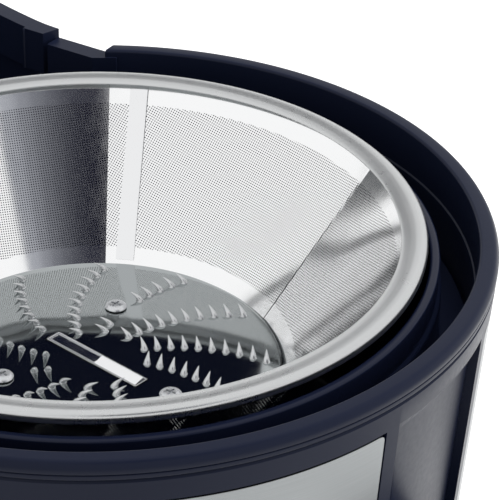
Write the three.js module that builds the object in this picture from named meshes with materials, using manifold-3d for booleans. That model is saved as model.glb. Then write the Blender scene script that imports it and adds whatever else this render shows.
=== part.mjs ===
// Centrifugal juicer with its lid off: a motor housing with a filter basket, a juice bowl and a pulp bin.
// Millimetres, +Z up. The origin is on the table, under the middle of the machine's footprint.
// The juice spout faces -Y, the pulp bin is at +Y, and the basket spins about a vertical axis at SPIN_Y.
import * as THREE from "three";
import { mergeVertices } from "three/addons/utils/BufferGeometryUtils.js";
import Module from "manifold-3d";

const wasm = await Module();
wasm.setup();

// Fits
const GAP = 0.3; // between pieces that seat on each other
const RUN = 0.5; // between pieces that move past each other
const ROUND = 48; // facets round a large ring
const SMALL = 16; // facets round a small one

// Overall
const RIM_Z = 250; // the basket's rim above the table
const REAR_REACH = 190; // from the spin axis to the back of the bin
const SPOUT_REACH = 140; // from the spin axis to the end of the spout
const TAPER = 0.066; // how far the housing draws in for each millimetre down

// Filter basket
const BASKET_R = 85;
const BASKET_DEPTH = 42.4; // from the rim to the grating disc
const RIM_BEAD = 5.5; // width of the rolled rim
const RIM_HEIGHT = 3.5;
const CONE_SLOPE = 0.7757; // the cone draws in this much for each millimetre down
const CONE_T = 0.8;
const DISC_T = 1;
const DISC_EDGE = 1; // from the cone's foot to the disc
const TOOTH_ROWS = 12;
const TEETH = 9;
const TOOTH_R = 1.25;
const TOOTH_LENGTH = 5;
const TOOTH_LIFT = 33; // degrees above the disc
const TOOTH_FIRST = 17;
const TOOTH_SPIRAL = 20; // degrees that a row lags from its outer end to its inner end
const TOOTH_START = 1.5; // degrees from +X to the outer end of the first row
const TOOTH_EDGE = 4; // from the last tooth to the disc's edge
const SCREW_CIRCLE = 25.7;
const SCREW_ANGLES = [22.6, 142.6, 262.6];
const SCREW_CLEAR = 7.5; // from a screw's middle to the nearest tooth's root
const BAR_LENGTH = 32.8;
const BAR_WIDTH = 4.8;
const BAR_ANGLE = 80;
const STRIP_WIDTH = 5.2;
const STRIP_ANGLE = 25.4;
const HUB_R = 20;
const HUB_DEPTH = 15.5;
const DRIVE_R = 12; // the coupling's core
const DRIVE_LUG = 2; // how far its lugs stand out
const DRIVE_HEIGHT = 11;

// Juice bowl
const LIP_GAP = 0.5;
const LIP_WIDTH = 2.7;
const LIP_DROP = 5;
const BOWL_FLARE = 0.8; // from the lip to the wall under it
const BOWL_T = 2;
const MOAT_WIDTH = 7.6;
const MOAT_DROP = 27;
const BOWL_DROP = 88;
const BOSS_GAP = 4; // round the basket's hub
const BOSS_DROP = 49;

// Collar and housing
const COLLAR_INNER_GAP = 0.6;
const COLLAR_STEP = 0.6;
const COLLAR_STEP_DROP = 12.6;
const COLLAR_WIDTH = 5.2;
const COLLAR_HEIGHT = 4.7;
const COLLAR_DROP = 0.3; // the collar's top under the basket's rim
const SHELF_T = 2;
const SHELF_WIDTH = 5;
const WALL = 2.4;
const PANEL_T = 0.8;
const PANEL_TOP_DROP = 12.2;
const PANEL_FOOT_Z = 40;
const PANEL_FRONT = 14.7; // degrees from the front
const PANEL_REAR = 22; // degrees behind the side
const CHANNEL_HALF = 12; // degrees
const CHANNEL_DEPTH = 2.5;
const CHANNEL_BAND_DROP = 11;
const CHANNEL_CHAMFER = 5;
const CHANNEL_FOOT_Z = 24;
const CHUTE_INSET = 17.6;
const CHUTE_WALL = 5.7;
const CHUTE_TOP_DROP = 2.4;
const CHUTE_BEVEL = 2.8;
const CHUTE_OVERHANG = 1;

// Pulp bin
const BIN_GAP = 4.9; // from the collar to the bin's hollow front
const BIN_T = 2.5;
const BIN_LIP = 5.5;
const BIN_LIP_HEIGHT = 13;
const BIN_BULGE = 14; // how far the sides stand out past the chute's walls
const BIN_GRIP = 6;

// Base
const FOOT_R = 10;
const FOOT_HEIGHT = 4.7;
const BASE_T = 4.7;
const BASE_TONGUE = 64; // half width of the rear tongue
const SCREW_R = 1.7;

// Spout
const SPOUT_HALF = 14;
const SPOUT_HEIGHT = 22;
const SPOUT_WALL = 2;
const SPOUT_DROP = 77; // its middle, under the rim
const DUCT_REACH = 127;
const TIP_BOSS_R = 3;
const TIP_PIVOT_BACK = 6; // from the duct's end back to the tip's pivot
const TIP_FLOOR_T = 1.6;

// Latches
const LATCH_HALF = 23;
const LATCH_DROP = 40;
const LATCH_BARREL = 4;
const LATCH_PIN_R = 2;
const LATCH_LENGTH = 46;
const EAR_T = 5;

// Knob
const KNOB_Z = 74;
const KNOB_R = 18.5;
const KNOB_PROUD = 14;
const BEZEL_T = 2.8;

// Motor
const SHAFT_R = 4;
const DECK_DROP = 92;
const DECK_T = 2.4;
const STATOR_HALF = 42;
const STATOR_Z = 70;
const STATOR_STACK = 42;
const ARMATURE_R = 26.5;
const AIR_GAP = 1;
const COIL_T = 7;
const COIL_Y = 29.5;
const COIL_HALF = 31;
const COMMUTATOR_R = 13;
const COMMUTATOR_Z = 50;
const FAN_R = 36;
const FAN_Z = 126;
const FAN_HEIGHT = 11;
const BEARING_R = 9;
const BEARING_HEIGHT = 8;
const LOWER_BRACKET_Z = 38;
const UPPER_BRACKET_Z = 142;
const BRACKET_T = 6;
const POST_R = 4;

// Sizes that follow from the ones above
const SPIN_Y = (SPOUT_REACH - REAR_REACH) / 2;
const coneTopR = BASKET_R - RIM_BEAD;
const coneTopZ = RIM_Z - RIM_HEIGHT - 0.7;
const discZ = RIM_Z - BASKET_DEPTH;
const coneFootR = coneTopR - (coneTopZ - discZ) * CONE_SLOPE;
const discR = coneFootR - DISC_EDGE;
const panZ = discZ - DISC_T - GAP;
const panT = 1;
const hubTopZ = panZ - panT - GAP;
const lipInner = BASKET_R + LIP_GAP;
const lipOuter = lipInner + LIP_WIDTH;
const bowlR = lipOuter + BOWL_FLARE;
const flangeR = bowlR + MOAT_WIDTH;
const flangeZ = RIM_Z - MOAT_DROP;
const flangeT = 1.7;
const shelfZ = flangeZ - flangeT - GAP;
const skirtR = flangeR + COLLAR_INNER_GAP;
const collarInner = skirtR + COLLAR_STEP;
const collarR = collarInner + COLLAR_WIDTH;
const collarTopZ = RIM_Z - COLLAR_DROP;
const collarFootZ = collarTopZ - COLLAR_HEIGHT;
const outer = (z) => collarR - TAPER * (RIM_Z - z);
const chuteHalf = skirtR - CHUTE_INSET;
const chuteOuter = chuteHalf + CHUTE_WALL;
const cutY = Math.sqrt(skirtR ** 2 - chuteHalf ** 2) - CHUTE_BEVEL;
const binFrontR = collarR + BIN_GAP;
const binStartY = Math.sqrt(binFrontR ** 2 - chuteHalf ** 2) - 0.8;
const binBackY = REAR_REACH - BIN_GRIP;
const floorR = binFrontR + BIN_T + CHUTE_OVERHANG;
const floorFootZ = shelfZ - SHELF_T;
const baseZ = FOOT_HEIGHT + GAP;
const baseTopZ = baseZ + BASE_T;
const housingFootZ = baseTopZ + GAP;
const deckZ = RIM_Z - DECK_DROP;
const spoutZ = RIM_Z - SPOUT_DROP;
const driveZ = hubTopZ - 1.5;
const latchZ = RIM_Z - LATCH_DROP;
const latchX = outer(latchZ) + LATCH_BARREL + 3.1;
const tilt = Math.atan(TAPER);
const baseScrewR = outer(0) - 16; // from the spin axis to each base screw

// Materials
const finish = (color, roughness, metalness) =>
  new THREE.MeshStandardMaterial({ color, roughness, metalness });
const blackPlastic = finish(0x14172a, 0.4, 0);
const darkPlastic = finish(0x0d0f1a, 0.6, 0);
const brushedSteel = finish(0xa9adb0, 0.35, 1);
const polishedSteel = finish(0xd9dbdd, 0.15, 1);
const filterSteel = finish(0xc4c7ca, 0.3, 1);
const rubber = finish(0x1a1a1c, 0.9, 0);
const lamination = finish(0x6d7073, 0.5, 1);
const copper = finish(0xb5642e, 0.35, 1);
const carbon = finish(0x2b2b2d, 0.7, 0.2);
const boardGreen = finish(0x1d5a34, 0.6, 0);
const bronze = finish(0x9a7a45, 0.4, 1);
const castMetal = finish(0xa5a8aa, 0.5, 1);

const root = new THREE.Group();
const machine = new THREE.Group();
machine.position.y = SPIN_Y;
root.add(machine);

// Solids for cutting and joining
function solid(geometry) {
  const bare = geometry.clone();
  bare.deleteAttribute("normal");
  bare.deleteAttribute("uv");
  const merged = mergeVertices(bare, 1e-4);
  const points = new Float32Array(merged.attributes.position.array);
  const corners = Array.from(merged.index.array);
  let faces = [];
  let volume = 0;
  for (let i = 0; i < corners.length; i += 3) {
    const [a, b, c] = corners.slice(i, i + 3);
    if (a === b || b === c || c === a) continue;
    faces.push([a, b, c]);
    const [p, q, r] = [a, b, c].map((n) => new THREE.Vector3().fromArray(points, 3 * n));
    volume += p.dot(q.cross(r));
  }
  if (volume < 0) faces = faces.map(([a, b, c]) => [a, c, b]);
  const triVerts = new Uint32Array(faces.flat());
  return new wasm.Manifold(new wasm.Mesh({ numProp: 3, vertProperties: points, triVerts }));
}

const cut = (body, ...tools) => tools.reduce((left, tool) => left.subtract(tool), body);
const join = (body, ...others) => others.reduce((whole, other) => whole.add(other), body);
const common = (a, b) => a.intersect(b);

function place(name, body, material, group = machine) {
  const { vertProperties, triVerts } = body.getMesh();
  const geometry = new THREE.BufferGeometry();
  geometry.setAttribute("position", new THREE.BufferAttribute(vertProperties, 3));
  geometry.setIndex(new THREE.BufferAttribute(triVerts, 1));
  geometry.computeVertexNormals();
  const mesh = new THREE.Mesh(geometry, material);
  mesh.name = name;
  group.add(mesh);
}

// A ring about the spin axis, from a closed outline of [radius, height] points
function ring(outline, facets = ROUND) {
  const points = [...outline, outline[0]].map(([r, z]) => new THREE.Vector2(r, z));
  return solid(new THREE.LatheGeometry(points, facets).rotateX(Math.PI / 2));
}

// A round block about the spin axis, from an outline that starts and ends on the axis
function turned(outline, facets = SMALL) {
  const points = outline.map(([r, z]) => new THREE.Vector2(r, z));
  return solid(new THREE.LatheGeometry(points, facets).rotateX(Math.PI / 2));
}

const disc = (r, z0, z1, facets = ROUND) => turned([[0, z0], [r, z0], [r, z1], [0, z1]], facets);

function outlineOf(points) {
  return new THREE.Shape(points.map(([x, y]) => new THREE.Vector2(x, y)));
}

function plate(shape, z0, z1, curveSegments = 6) {
  const options = { depth: z1 - z0, bevelEnabled: false, curveSegments };
  return solid(new THREE.ExtrudeGeometry(shape, options).translate(0, 0, z0));
}

function block(x0, x1, y0, y1, z0, z1) {
  const shape = new THREE.BoxGeometry(x1 - x0, y1 - y0, z1 - z0);
  return solid(shape.translate((x0 + x1) / 2, (y0 + y1) / 2, (z0 + z1) / 2));
}

function rounded(halfX, halfY, r) {
  const shape = new THREE.Shape();
  shape.moveTo(-halfX + r, -halfY);
  shape.lineTo(halfX - r, -halfY);
  shape.absarc(halfX - r, -halfY + r, r, -Math.PI / 2, 0);
  shape.lineTo(halfX, halfY - r);
  shape.absarc(halfX - r, halfY - r, r, 0, Math.PI / 2);
  shape.lineTo(-halfX + r, halfY);
  shape.absarc(-halfX + r, halfY - r, r, Math.PI / 2, Math.PI);
  shape.lineTo(-halfX, -halfY + r);
  shape.absarc(-halfX + r, -halfY + r, r, Math.PI, 1.5 * Math.PI);
  return shape;
}

// A rod of the radius between two points
function rod(r, from, to, facets = SMALL) {
  const a = new THREE.Vector3(...from);
  const b = new THREE.Vector3(...to);
  const along = b.clone().sub(a);
  const shape = new THREE.CylinderGeometry(r, r, along.length(), facets);
  const turn = new THREE.Quaternion().setFromUnitVectors(new THREE.Vector3(0, 1, 0), along.normalize());
  const middle = a.add(b).multiplyScalar(0.5);
  return solid(shape.applyQuaternion(turn).translate(middle.x, middle.y, middle.z));
}

const rad = THREE.MathUtils.degToRad;
const polar = (r, degrees) => [r * Math.cos(rad(degrees)), r * Math.sin(rad(degrees))];

// A slice of pie about the spin axis, between two angles from +X
function slice(from, to, reach, z0, z1) {
  const steps = Math.ceil((to - from) / 15);
  const arc = Array.from({ length: steps + 1 }, (_, i) => polar(reach, from + ((to - from) * i) / steps));
  return plate(outlineOf([[0, 0], ...arc]), z0, z1);
}

// The same outline drawn in by a distance, for an outline that runs counterclockwise
function inset(points, distance) {
  const count = points.length;
  return points.map((point, i) => {
    const here = new THREE.Vector2(...point);
    const before = here.clone().sub(new THREE.Vector2(...points[(i + count - 1) % count])).normalize();
    const after = new THREE.Vector2(...points[(i + 1) % count]).sub(here).normalize();
    const normal = new THREE.Vector2(-before.y - after.y, before.x + after.x).normalize();
    const stretch = 1 / Math.max(0.4, normal.dot(new THREE.Vector2(-after.y, after.x)));
    return here.addScaledVector(normal, distance * stretch).toArray();
  });
}

// Base plate on four feet, with a tongue at the back for the bin
const frontFoot = [outer(0) - 34, -(outer(0) - 34)];
const rearFoot = [BASE_TONGUE - 13, binBackY - 22];

function baseOutline() {
  const r = outer(housingFootZ);
  const side = Math.asin(BASE_TONGUE / r);
  const corner = 22;
  const back = binBackY - 6;
  const shape = new THREE.Shape();
  shape.absarc(0, 0, r, Math.PI / 2 + side, Math.PI / 2 - side + 2 * Math.PI, false);
  shape.lineTo(BASE_TONGUE, back - corner);
  shape.absarc(BASE_TONGUE - corner, back - corner, corner, 0, Math.PI / 2);
  shape.lineTo(-BASE_TONGUE + corner, back);
  shape.absarc(-BASE_TONGUE + corner, back - corner, corner, Math.PI / 2, Math.PI);
  return shape;
}

function base() {
  const holes = [];
  const corners = [[1, frontFoot], [-1, frontFoot], [1, rearFoot], [-1, rearFoot]];
  corners.forEach(([side, [x, y]], i) => {
    const foot = turned([[0, 0], [FOOT_R - 1, 0], [FOOT_R, FOOT_HEIGHT], [0, FOOT_HEIGHT]], 12);
    place(`foot_${i + 1}`, foot.translate([side * x, y, 0]), rubber);
  });
  [0, 90, 180, 270].forEach((angle, i) => {
    const [x, y] = polar(baseScrewR, angle);
    holes.push(rod(SCREW_R + GAP, [x, y, baseZ - 1], [x, y, baseTopZ + 1], 8));
    const head = turned([[0, baseZ - 2.3], [3.4, baseZ - 2.3], [3.4, baseZ - GAP], [SCREW_R, baseZ - GAP],
      [SCREW_R, baseTopZ + 8], [0, baseTopZ + 8]], 8);
    place(`base_screw_${i + 1}`, head.translate([x, y, 0]), castMetal);
  });
  place("base_plate", cut(plate(baseOutline(), baseZ, baseTopZ, 10), ...holes), darkPlastic);
}

// Tapered motor housing, with the spout's channel, two panel pockets and the knob's hole
const shell = (out, depth, z0, z1) =>
  ring([[outer(z0) - depth, z0], [outer(z0) - out, z0], [outer(z1) - out, z1], [outer(z1) - depth, z1]]);

function channelCut() {
  const top = RIM_Z - CHANNEL_BAND_DROP;
  const foot = top - CHANNEL_CHAMFER;
  const far = collarR + 5;
  const space = ring([[far, CHANNEL_FOOT_Z], [outer(CHANNEL_FOOT_Z) - CHANNEL_DEPTH, CHANNEL_FOOT_Z],
    [outer(foot) - CHANNEL_DEPTH, foot], [outer(top) + 0.2, top], [far, top]]);
  return common(space, slice(-90 - CHANNEL_HALF, -90 + CHANNEL_HALF, far + 10, 0, RIM_Z));
}

function channelBack() {
  const top = RIM_Z - CHANNEL_BAND_DROP + 2;
  const wall = shell(WALL / 2, CHANNEL_DEPTH + WALL, CHANNEL_FOOT_Z - WALL, top);
  const half = CHANNEL_HALF + 1.6;
  const clear = disc(skirtR, shelfZ, RIM_Z);
  return cut(common(wall, slice(-90 - half, -90 + half, collarR + 5, 0, RIM_Z)), clear);
}

function knobSpace(r) {
  const space = solid(new THREE.CylinderGeometry(r, r, 40, 2 * SMALL).rotateZ(Math.PI / 2));
  return space.rotate([0, THREE.MathUtils.radToDeg(tilt), 0]).translate([outer(KNOB_Z), 0, KNOB_Z]);
}

const bezelR = KNOB_R + RUN + BEZEL_T;
const panelSpans = [[-90 + PANEL_FRONT, PANEL_REAR], [180 - PANEL_REAR, 270 - PANEL_FRONT]];

function panelSpan([from, to], margin, z0, z1) {
  const angle = THREE.MathUtils.radToDeg(margin / collarR);
  return slice(from - angle, to + angle, collarR + 10, z0, z1);
}

function housing() {
  const top = collarFootZ - GAP;
  const pocket = shell(-1, PANEL_T + GAP, PANEL_FOOT_Z - RUN, RIM_Z - PANEL_TOP_DROP + RUN);
  const pockets = panelSpans.map((span) => common(pocket, panelSpan(span, RUN, 0, RIM_Z)));
  const rear = block(-collarR, collarR, cutY - 3 - GAP, collarR + 5, floorFootZ - GAP, RIM_Z);
  const duct = block(-SPOUT_HALF - GAP, SPOUT_HALF + GAP, -collarR - 5, -bowlR,
    spoutZ - SPOUT_HEIGHT / 2 - GAP, spoutZ + SPOUT_HEIGHT / 2 + GAP);
  const inlet = polar(outer(30), 150);
  const cordHole = rod(6 + GAP, [inlet[0] * 0.8, inlet[1] * 0.8, 30], [inlet[0] * 1.2, inlet[1] * 1.2, 30]);
  const wall = join(cut(shell(0, WALL, housingFootZ, top), channelCut()), channelBack());
  const clearOfChannel = cut(wall, channelCut());
  const body = cut(clearOfChannel, ...pockets, rear, duct, cordHole, knobSpace(bezelR + GAP));
  place("motor_housing", body, blackPlastic);
  const gland = join(
    rod(6, [inlet[0] * 0.93, inlet[1] * 0.93, 30], [inlet[0] * 1.07, inlet[1] * 1.07, 30]),
    rod(8.5, [inlet[0] * 1.015, inlet[1] * 1.015, 30], [inlet[0] * 1.04, inlet[1] * 1.04, 30]),
  );
  const bore = rod(3.4, [inlet[0] * 0.8, inlet[1] * 0.8, 30], [inlet[0] * 1.2, inlet[1] * 1.2, 30]);
  place("cord_inlet", cut(gland, bore), rubber);
}

function panels() {
  const sheet = shell(0, PANEL_T, PANEL_FOOT_Z, RIM_Z - PANEL_TOP_DROP);
  const [right, left] = panelSpans.map((span) => common(sheet, panelSpan(span, 0, 0, RIM_Z)));
  place("steel_panel_right", cut(right, knobSpace(bezelR + GAP)), brushedSteel);
  place("steel_panel_left", left, brushedSteel);
}

// Collar on top of the housing: rim, skirt, the bowl's shelf, and the chute to the bin
function collar() {
  const skirtOut = (z) => outer(z) - WALL - GAP;
  const body = ring([
    [outer(collarFootZ), collarFootZ], [collarR, RIM_Z - 2.4], [collarR - 0.8, collarTopZ],
    [collarInner, collarTopZ], [collarInner, RIM_Z - COLLAR_STEP_DROP], [skirtR, RIM_Z - COLLAR_STEP_DROP],
    [skirtR, shelfZ], [skirtR - SHELF_WIDTH, shelfZ], [skirtR - SHELF_WIDTH, floorFootZ],
    [skirtOut(floorFootZ), floorFootZ], [skirtOut(collarFootZ), collarFootZ]]);
  const half = CHANNEL_HALF + 1.6 + 0.25;
  const channel = slice(-90 - half, -90 + half, collarR + 5, floorFootZ - 1, RIM_Z - CHANNEL_BAND_DROP + 2 + RUN);
  const back = block(-collarR, collarR, cutY, collarR + 5, shelfZ, RIM_Z + 1);
  const reach = disc(floorR, floorFootZ, shelfZ);
  const floor = common(reach, block(-chuteOuter, chuteOuter, cutY - 3, floorR + 1, floorFootZ, shelfZ));
  const opening = disc(skirtR - SHELF_WIDTH, floorFootZ - 1, shelfZ + 1);
  const wallEnd = binStartY - GAP;
  const walls = [-1, 1].map((side) => {
    const x = [side * chuteHalf, side * chuteOuter].sort((a, b) => a - b);
    return block(...x, cutY - 3, wallEnd, floorFootZ, RIM_Z - CHUTE_TOP_DROP);
  });
  const clear = disc(skirtR, shelfZ, RIM_Z + 1);
  const chuteWalls = walls.map((wall) => cut(wall, clear));
  const floorTrim = block(-collarR, collarR, wallEnd, collarR + 20, floorFootZ - 1, shelfZ + 1);
  const sides = cut(floorTrim, block(-chuteHalf, chuteHalf, 0, collarR + 30, floorFootZ - 2, shelfZ + 2));
  const chute = cut(join(floor, ...chuteWalls), opening, sides);
  place("top_collar", join(cut(body, channel, back), chute), blackPlastic);
}

// Deck between the motor room and the bowl, with the shaft's seal
function deck() {
  const edge = outer(deckZ - DECK_T) - CHANNEL_DEPTH - WALL - GAP;
  const tubeR = SHAFT_R + GAP + 4.6;
  const body = ring([[tubeR, deckZ - DECK_T], [edge, deckZ - DECK_T], [edge, deckZ],
    [tubeR + 3, deckZ], [tubeR + 3, deckZ + 2], [tubeR, deckZ + 2]], 40);
  const posts = [45, 135, 225, 315].map((angle) => {
    const [x, y] = polar((STATOR_HALF - POST_R - 2) * Math.SQRT2, angle);
    return rod(POST_R, [x, y, UPPER_BRACKET_Z + BRACKET_T + GAP], [x, y, deckZ - DECK_T + 0.5], 8);
  });
  place("motor_deck", join(body, ...posts), darkPlastic);
  const seal = ring([[SHAFT_R + GAP, deckZ - DECK_T], [tubeR - GAP, deckZ - DECK_T],
    [tubeR - GAP, deckZ + 1.6], [SHAFT_R + GAP, deckZ + 1.6]], SMALL);
  place("shaft_seal", seal, rubber);
}

// Universal motor: stator, coils, brackets, bearings and brushes
function motorFrame() {
  const half = STATOR_HALF;
  const stack = plate(rounded(half, half, 9), STATOR_Z, STATOR_Z + STATOR_STACK, 3);
  const bore = disc(ARMATURE_R + AIR_GAP, STATOR_Z - 1, STATOR_Z + STATOR_STACK + 1, 40);
  const inside = COIL_HALF - COIL_T;
  const slots = [-1, 1].flatMap((sx) => [-1, 1].map((sy) => {
    const x = [sx * (inside - GAP), sx * (COIL_HALF + GAP)].sort((a, b) => a - b);
    const y = [sy * (COIL_Y - GAP), sy * (COIL_Y + COIL_T + GAP)].sort((a, b) => a - b);
    return block(...x, ...y, STATOR_Z - 1, STATOR_Z + STATOR_STACK + 1);
  }));
  place("stator_core", cut(stack, bore, ...slots), lamination);
  [["front", -1], ["rear", 1]].forEach(([word, side]) => {
    const y = [side * COIL_Y, side * (COIL_Y + COIL_T)].sort((a, b) => a - b);
    const low = STATOR_Z - GAP;
    const high = STATOR_Z + STATOR_STACK + GAP;
    const whole = block(-COIL_HALF, COIL_HALF, ...y, low - COIL_T, high + COIL_T);
    const window = block(-inside, inside, y[0] - 1, y[1] + 1, low, high);
    place(`field_coil_${word}`, cut(whole, window), copper);
  });
  bracket("lower", LOWER_BRACKET_Z, LOWER_BRACKET_Z + BRACKET_T, STATOR_Z - GAP);
  bracket("upper", UPPER_BRACKET_Z, UPPER_BRACKET_Z, STATOR_Z + STATOR_STACK + GAP);
}

// One end bracket: a cross bar with the bearing's seat and four posts that reach the stator
function bracket(word, z, postFrom, postTo) {
  const reach = STATOR_HALF;
  const arm = 9;
  const cross = (angle) => plate(rounded((reach - 2) * Math.SQRT2, arm / 2 + 2, 4), z, z + BRACKET_T, 2)
    .rotate([0, 0, angle]);
  const seat = disc(BEARING_R + 3, z, z + BEARING_HEIGHT, SMALL);
  const bore = disc(BEARING_R + GAP, z - 1, z + BEARING_HEIGHT + 1, SMALL);
  const posts = [45, 135, 225, 315].map((angle) => {
    const [x, y] = polar((STATOR_HALF - POST_R - 2) * Math.SQRT2, angle);
    return rod(POST_R, [x, y, Math.min(postFrom, postTo)], [x, y, Math.max(postFrom, postTo) + 0.01], 8);
  });
  const body = cut(join(cross(45), cross(-45), seat, ...posts), bore);
  place(`bracket_${word}`, body, castMetal);
  const bush = ring([[SHAFT_R + GAP, z], [BEARING_R, z], [BEARING_R, z + BEARING_HEIGHT],
    [SHAFT_R + GAP, z + BEARING_HEIGHT]], SMALL);
  place(`bearing_${word}`, bush, bronze);
}

function brushes() {
  const middle = COMMUTATOR_Z + 6;
  [["left", -1], ["right", 1]].forEach(([word, side]) => {
    const across = (a, b) => [side * a, side * b].sort((p, q) => p - q);
    const start = COMMUTATOR_R + 2;
    const tube = block(...across(start, start + 22), -5, 5, middle - 5.5, middle + 5.5);
    const bore = block(...across(start - 1, start + 20), -3.4, 3.4, middle - 3.4, middle + 3.4);
    place(`brush_holder_${word}`, cut(tube, bore), bronze);
    const brush = block(...across(COMMUTATOR_R + GAP, start + 15), -3.1, 3.1, middle - 3.1, middle + 3.1);
    place(`carbon_brush_${word}`, brush, carbon);
  });
}

// What turns with the motor
function rotor() {
  const shaftTop = driveZ - 2.5;
  place("motor_shaft", disc(SHAFT_R, LOWER_BRACKET_Z - 6, shaftTop, 16), castMetal);
  const bore = SHAFT_R + GAP;
  const stackZ = [STATOR_Z, STATOR_Z + STATOR_STACK];
  const core = ring([[bore, stackZ[0]], [ARMATURE_R, stackZ[0]], [ARMATURE_R, stackZ[1]],
    [bore, stackZ[1]]], 40);
  place("armature_core", core, lamination);
  const winding = (z0, z1) => ring([[bore, z0], [ARMATURE_R - 8, z0], [ARMATURE_R - 4, (z0 + z1) / 2],
    [ARMATURE_R - 8, z1], [bore, z1]], SMALL);
  place("armature_winding_lower", winding(COMMUTATOR_Z + 13, stackZ[0] - GAP), copper);
  place("armature_winding_upper", winding(stackZ[1] + GAP, stackZ[1] + 9), copper);
  const bars = ring([[bore, COMMUTATOR_Z], [COMMUTATOR_R, COMMUTATOR_Z],
    [COMMUTATOR_R, COMMUTATOR_Z + 12], [bore, COMMUTATOR_Z + 12]], SMALL);
  place("commutator", bars, copper);
  fan(bore);
  coupling(bore);
}

function fan(bore) {
  const web = ring([[bore, FAN_Z], [FAN_R, FAN_Z], [FAN_R, FAN_Z + 2], [10, FAN_Z + 2],
    [10, FAN_Z + FAN_HEIGHT], [bore, FAN_Z + FAN_HEIGHT]], 24);
  const blades = Array.from({ length: 9 }, (_, i) => {
    const blade = block(9, FAN_R - 1, -0.9, 0.9, FAN_Z + 1, FAN_Z + FAN_HEIGHT);
    return blade.rotate([0, 0, (360 / 9) * i + 5]);
  });
  place("cooling_fan", join(web, ...blades), darkPlastic);
}

const lugs = (r, half, z0, z1) =>
  [0, 60, 120].map((angle) => block(-r, r, -half, half, z0, z1).rotate([0, 0, angle]));

function coupling(bore) {
  const foot = driveZ - DRIVE_HEIGHT;
  const body = join(disc(DRIVE_R, foot, driveZ, 24), ...lugs(DRIVE_R + DRIVE_LUG, 2, foot, driveZ));
  place("drive_coupling", cut(body, disc(bore, foot - 1, driveZ - 2, 16)), darkPlastic);
}

// Filter basket: rolled rim, cone, seam strip, pan, hub, and the grating disc with its screws
function basket() {
  const rim = ring([[coneTopR, RIM_Z - RIM_HEIGHT - 0.5], [coneTopR + 1.5, RIM_Z - 1.4],
    [BASKET_R - 1.7, RIM_Z], [BASKET_R, RIM_Z - RIM_HEIGHT / 2], [BASKET_R - 1, RIM_Z - RIM_HEIGHT]]);
  place("basket_rim", rim, polishedSteel);
  const footZ = panZ - panT;
  const footR = coneTopR - (coneTopZ - footZ) * CONE_SLOPE;
  const cone = ring([[footR, footZ], [footR + CONE_T, footZ], [coneTopR + CONE_T, coneTopZ - GAP],
    [coneTopR, coneTopZ - GAP]]);
  place("filter_cone", cone, filterSteel);
  strip();
  pan(footR, footZ);
  grater();
}

function strip() {
  const t = 0.5;
  const z0 = discZ + 1.5;
  const z1 = coneTopZ - 2.5;
  const at = (z) => coneTopR - (coneTopZ - z) * CONE_SLOPE - GAP;
  const band = ring([[at(z0) - t, z0], [at(z0), z0], [at(z1), z1], [at(z1) - t, z1]]);
  const path = block(0, BASKET_R, -STRIP_WIDTH / 2, STRIP_WIDTH / 2, z0 - 1, z1 + 1);
  place("seam_strip", common(band, path.rotate([0, 0, STRIP_ANGLE])), polishedSteel);
}

function pan(footR, footZ) {
  const socket = DRIVE_R + DRIVE_LUG + RUN + 0.4;
  place("basket_base", disc(footR - GAP, footZ, panZ), polishedSteel);
  const hub = disc(HUB_R, hubTopZ - HUB_DEPTH, hubTopZ, 30);
  const round = disc(DRIVE_R + RUN, hubTopZ - HUB_DEPTH - 1, hubTopZ - 1, 24);
  const slots = lugs(socket, 2 + RUN, hubTopZ - HUB_DEPTH - 1, hubTopZ - 1);
  place("basket_hub", cut(hub, join(round, ...slots)), darkPlastic);
}

function tooth(r, angle) {
  const spike = new THREE.ConeGeometry(TOOTH_R, TOOTH_LENGTH, 4).translate(0, TOOTH_LENGTH / 2, 0);
  spike.rotateX(rad(TOOTH_LIFT)).rotateZ(rad(angle));
  const [x, y] = polar(r, angle);
  return solid(spike.translate(x, y, discZ + 0.15));
}

function grater() {
  const pitch = (discR - TOOTH_EDGE - TOOTH_FIRST) / (TEETH - 1);
  const screws = SCREW_ANGLES.map((angle) => polar(SCREW_CIRCLE, angle));
  const clearOfScrews = ([x, y]) => screws.every(([sx, sy]) => Math.hypot(x - sx, y - sy) > SCREW_CLEAR);
  let body = disc(discR, discZ - DISC_T, discZ);
  for (let row = 0; row < TOOTH_ROWS; row += 1) {
    for (let i = 0; i < TEETH; i += 1) {
      const angle = (360 / TOOTH_ROWS) * row + (TOOTH_SPIRAL * (TEETH - 1 - i)) / (TEETH - 1) + TOOTH_START;
      const r = TOOTH_FIRST + pitch * i;
      if (clearOfScrews(polar(r, angle))) body = join(body, tooth(r, angle));
    }
  }
  const under = disc(discR + 5, discZ - DISC_T - 3, discZ - DISC_T);
  const half = [BAR_LENGTH / 2, BAR_WIDTH / 2];
  const slot = block(-half[0] - GAP, half[0] + GAP, -half[1] - GAP, half[1] + GAP, discZ - 3, discZ + 3);
  const holes = [];
  screws.forEach(([x, y], i) => {
    holes.push(rod(SCREW_R + GAP, [x, y, discZ - 3], [x, y, discZ + 1], 8));
    const screw = turned([[0, discZ - DISC_T], [SCREW_R, discZ - DISC_T], [SCREW_R, discZ + GAP],
      [3, discZ + GAP], [2.4, discZ + 1.1], [0, discZ + 1.3]], 10);
    place(`disc_screw_${i + 1}`, screw.translate([x, y, 0]), castMetal);
  });
  const slotted = cut(body, under, slot.rotate([0, 0, BAR_ANGLE]), ...holes);
  place("grating_disc", slotted, polishedSteel);
  const bar = block(-half[0], half[0], -half[1], half[1], discZ - DISC_T + 0.05, discZ + 0.6);
  place("centre_bar", bar.rotate([0, 0, BAR_ANGLE]), polishedSteel);
}

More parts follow.
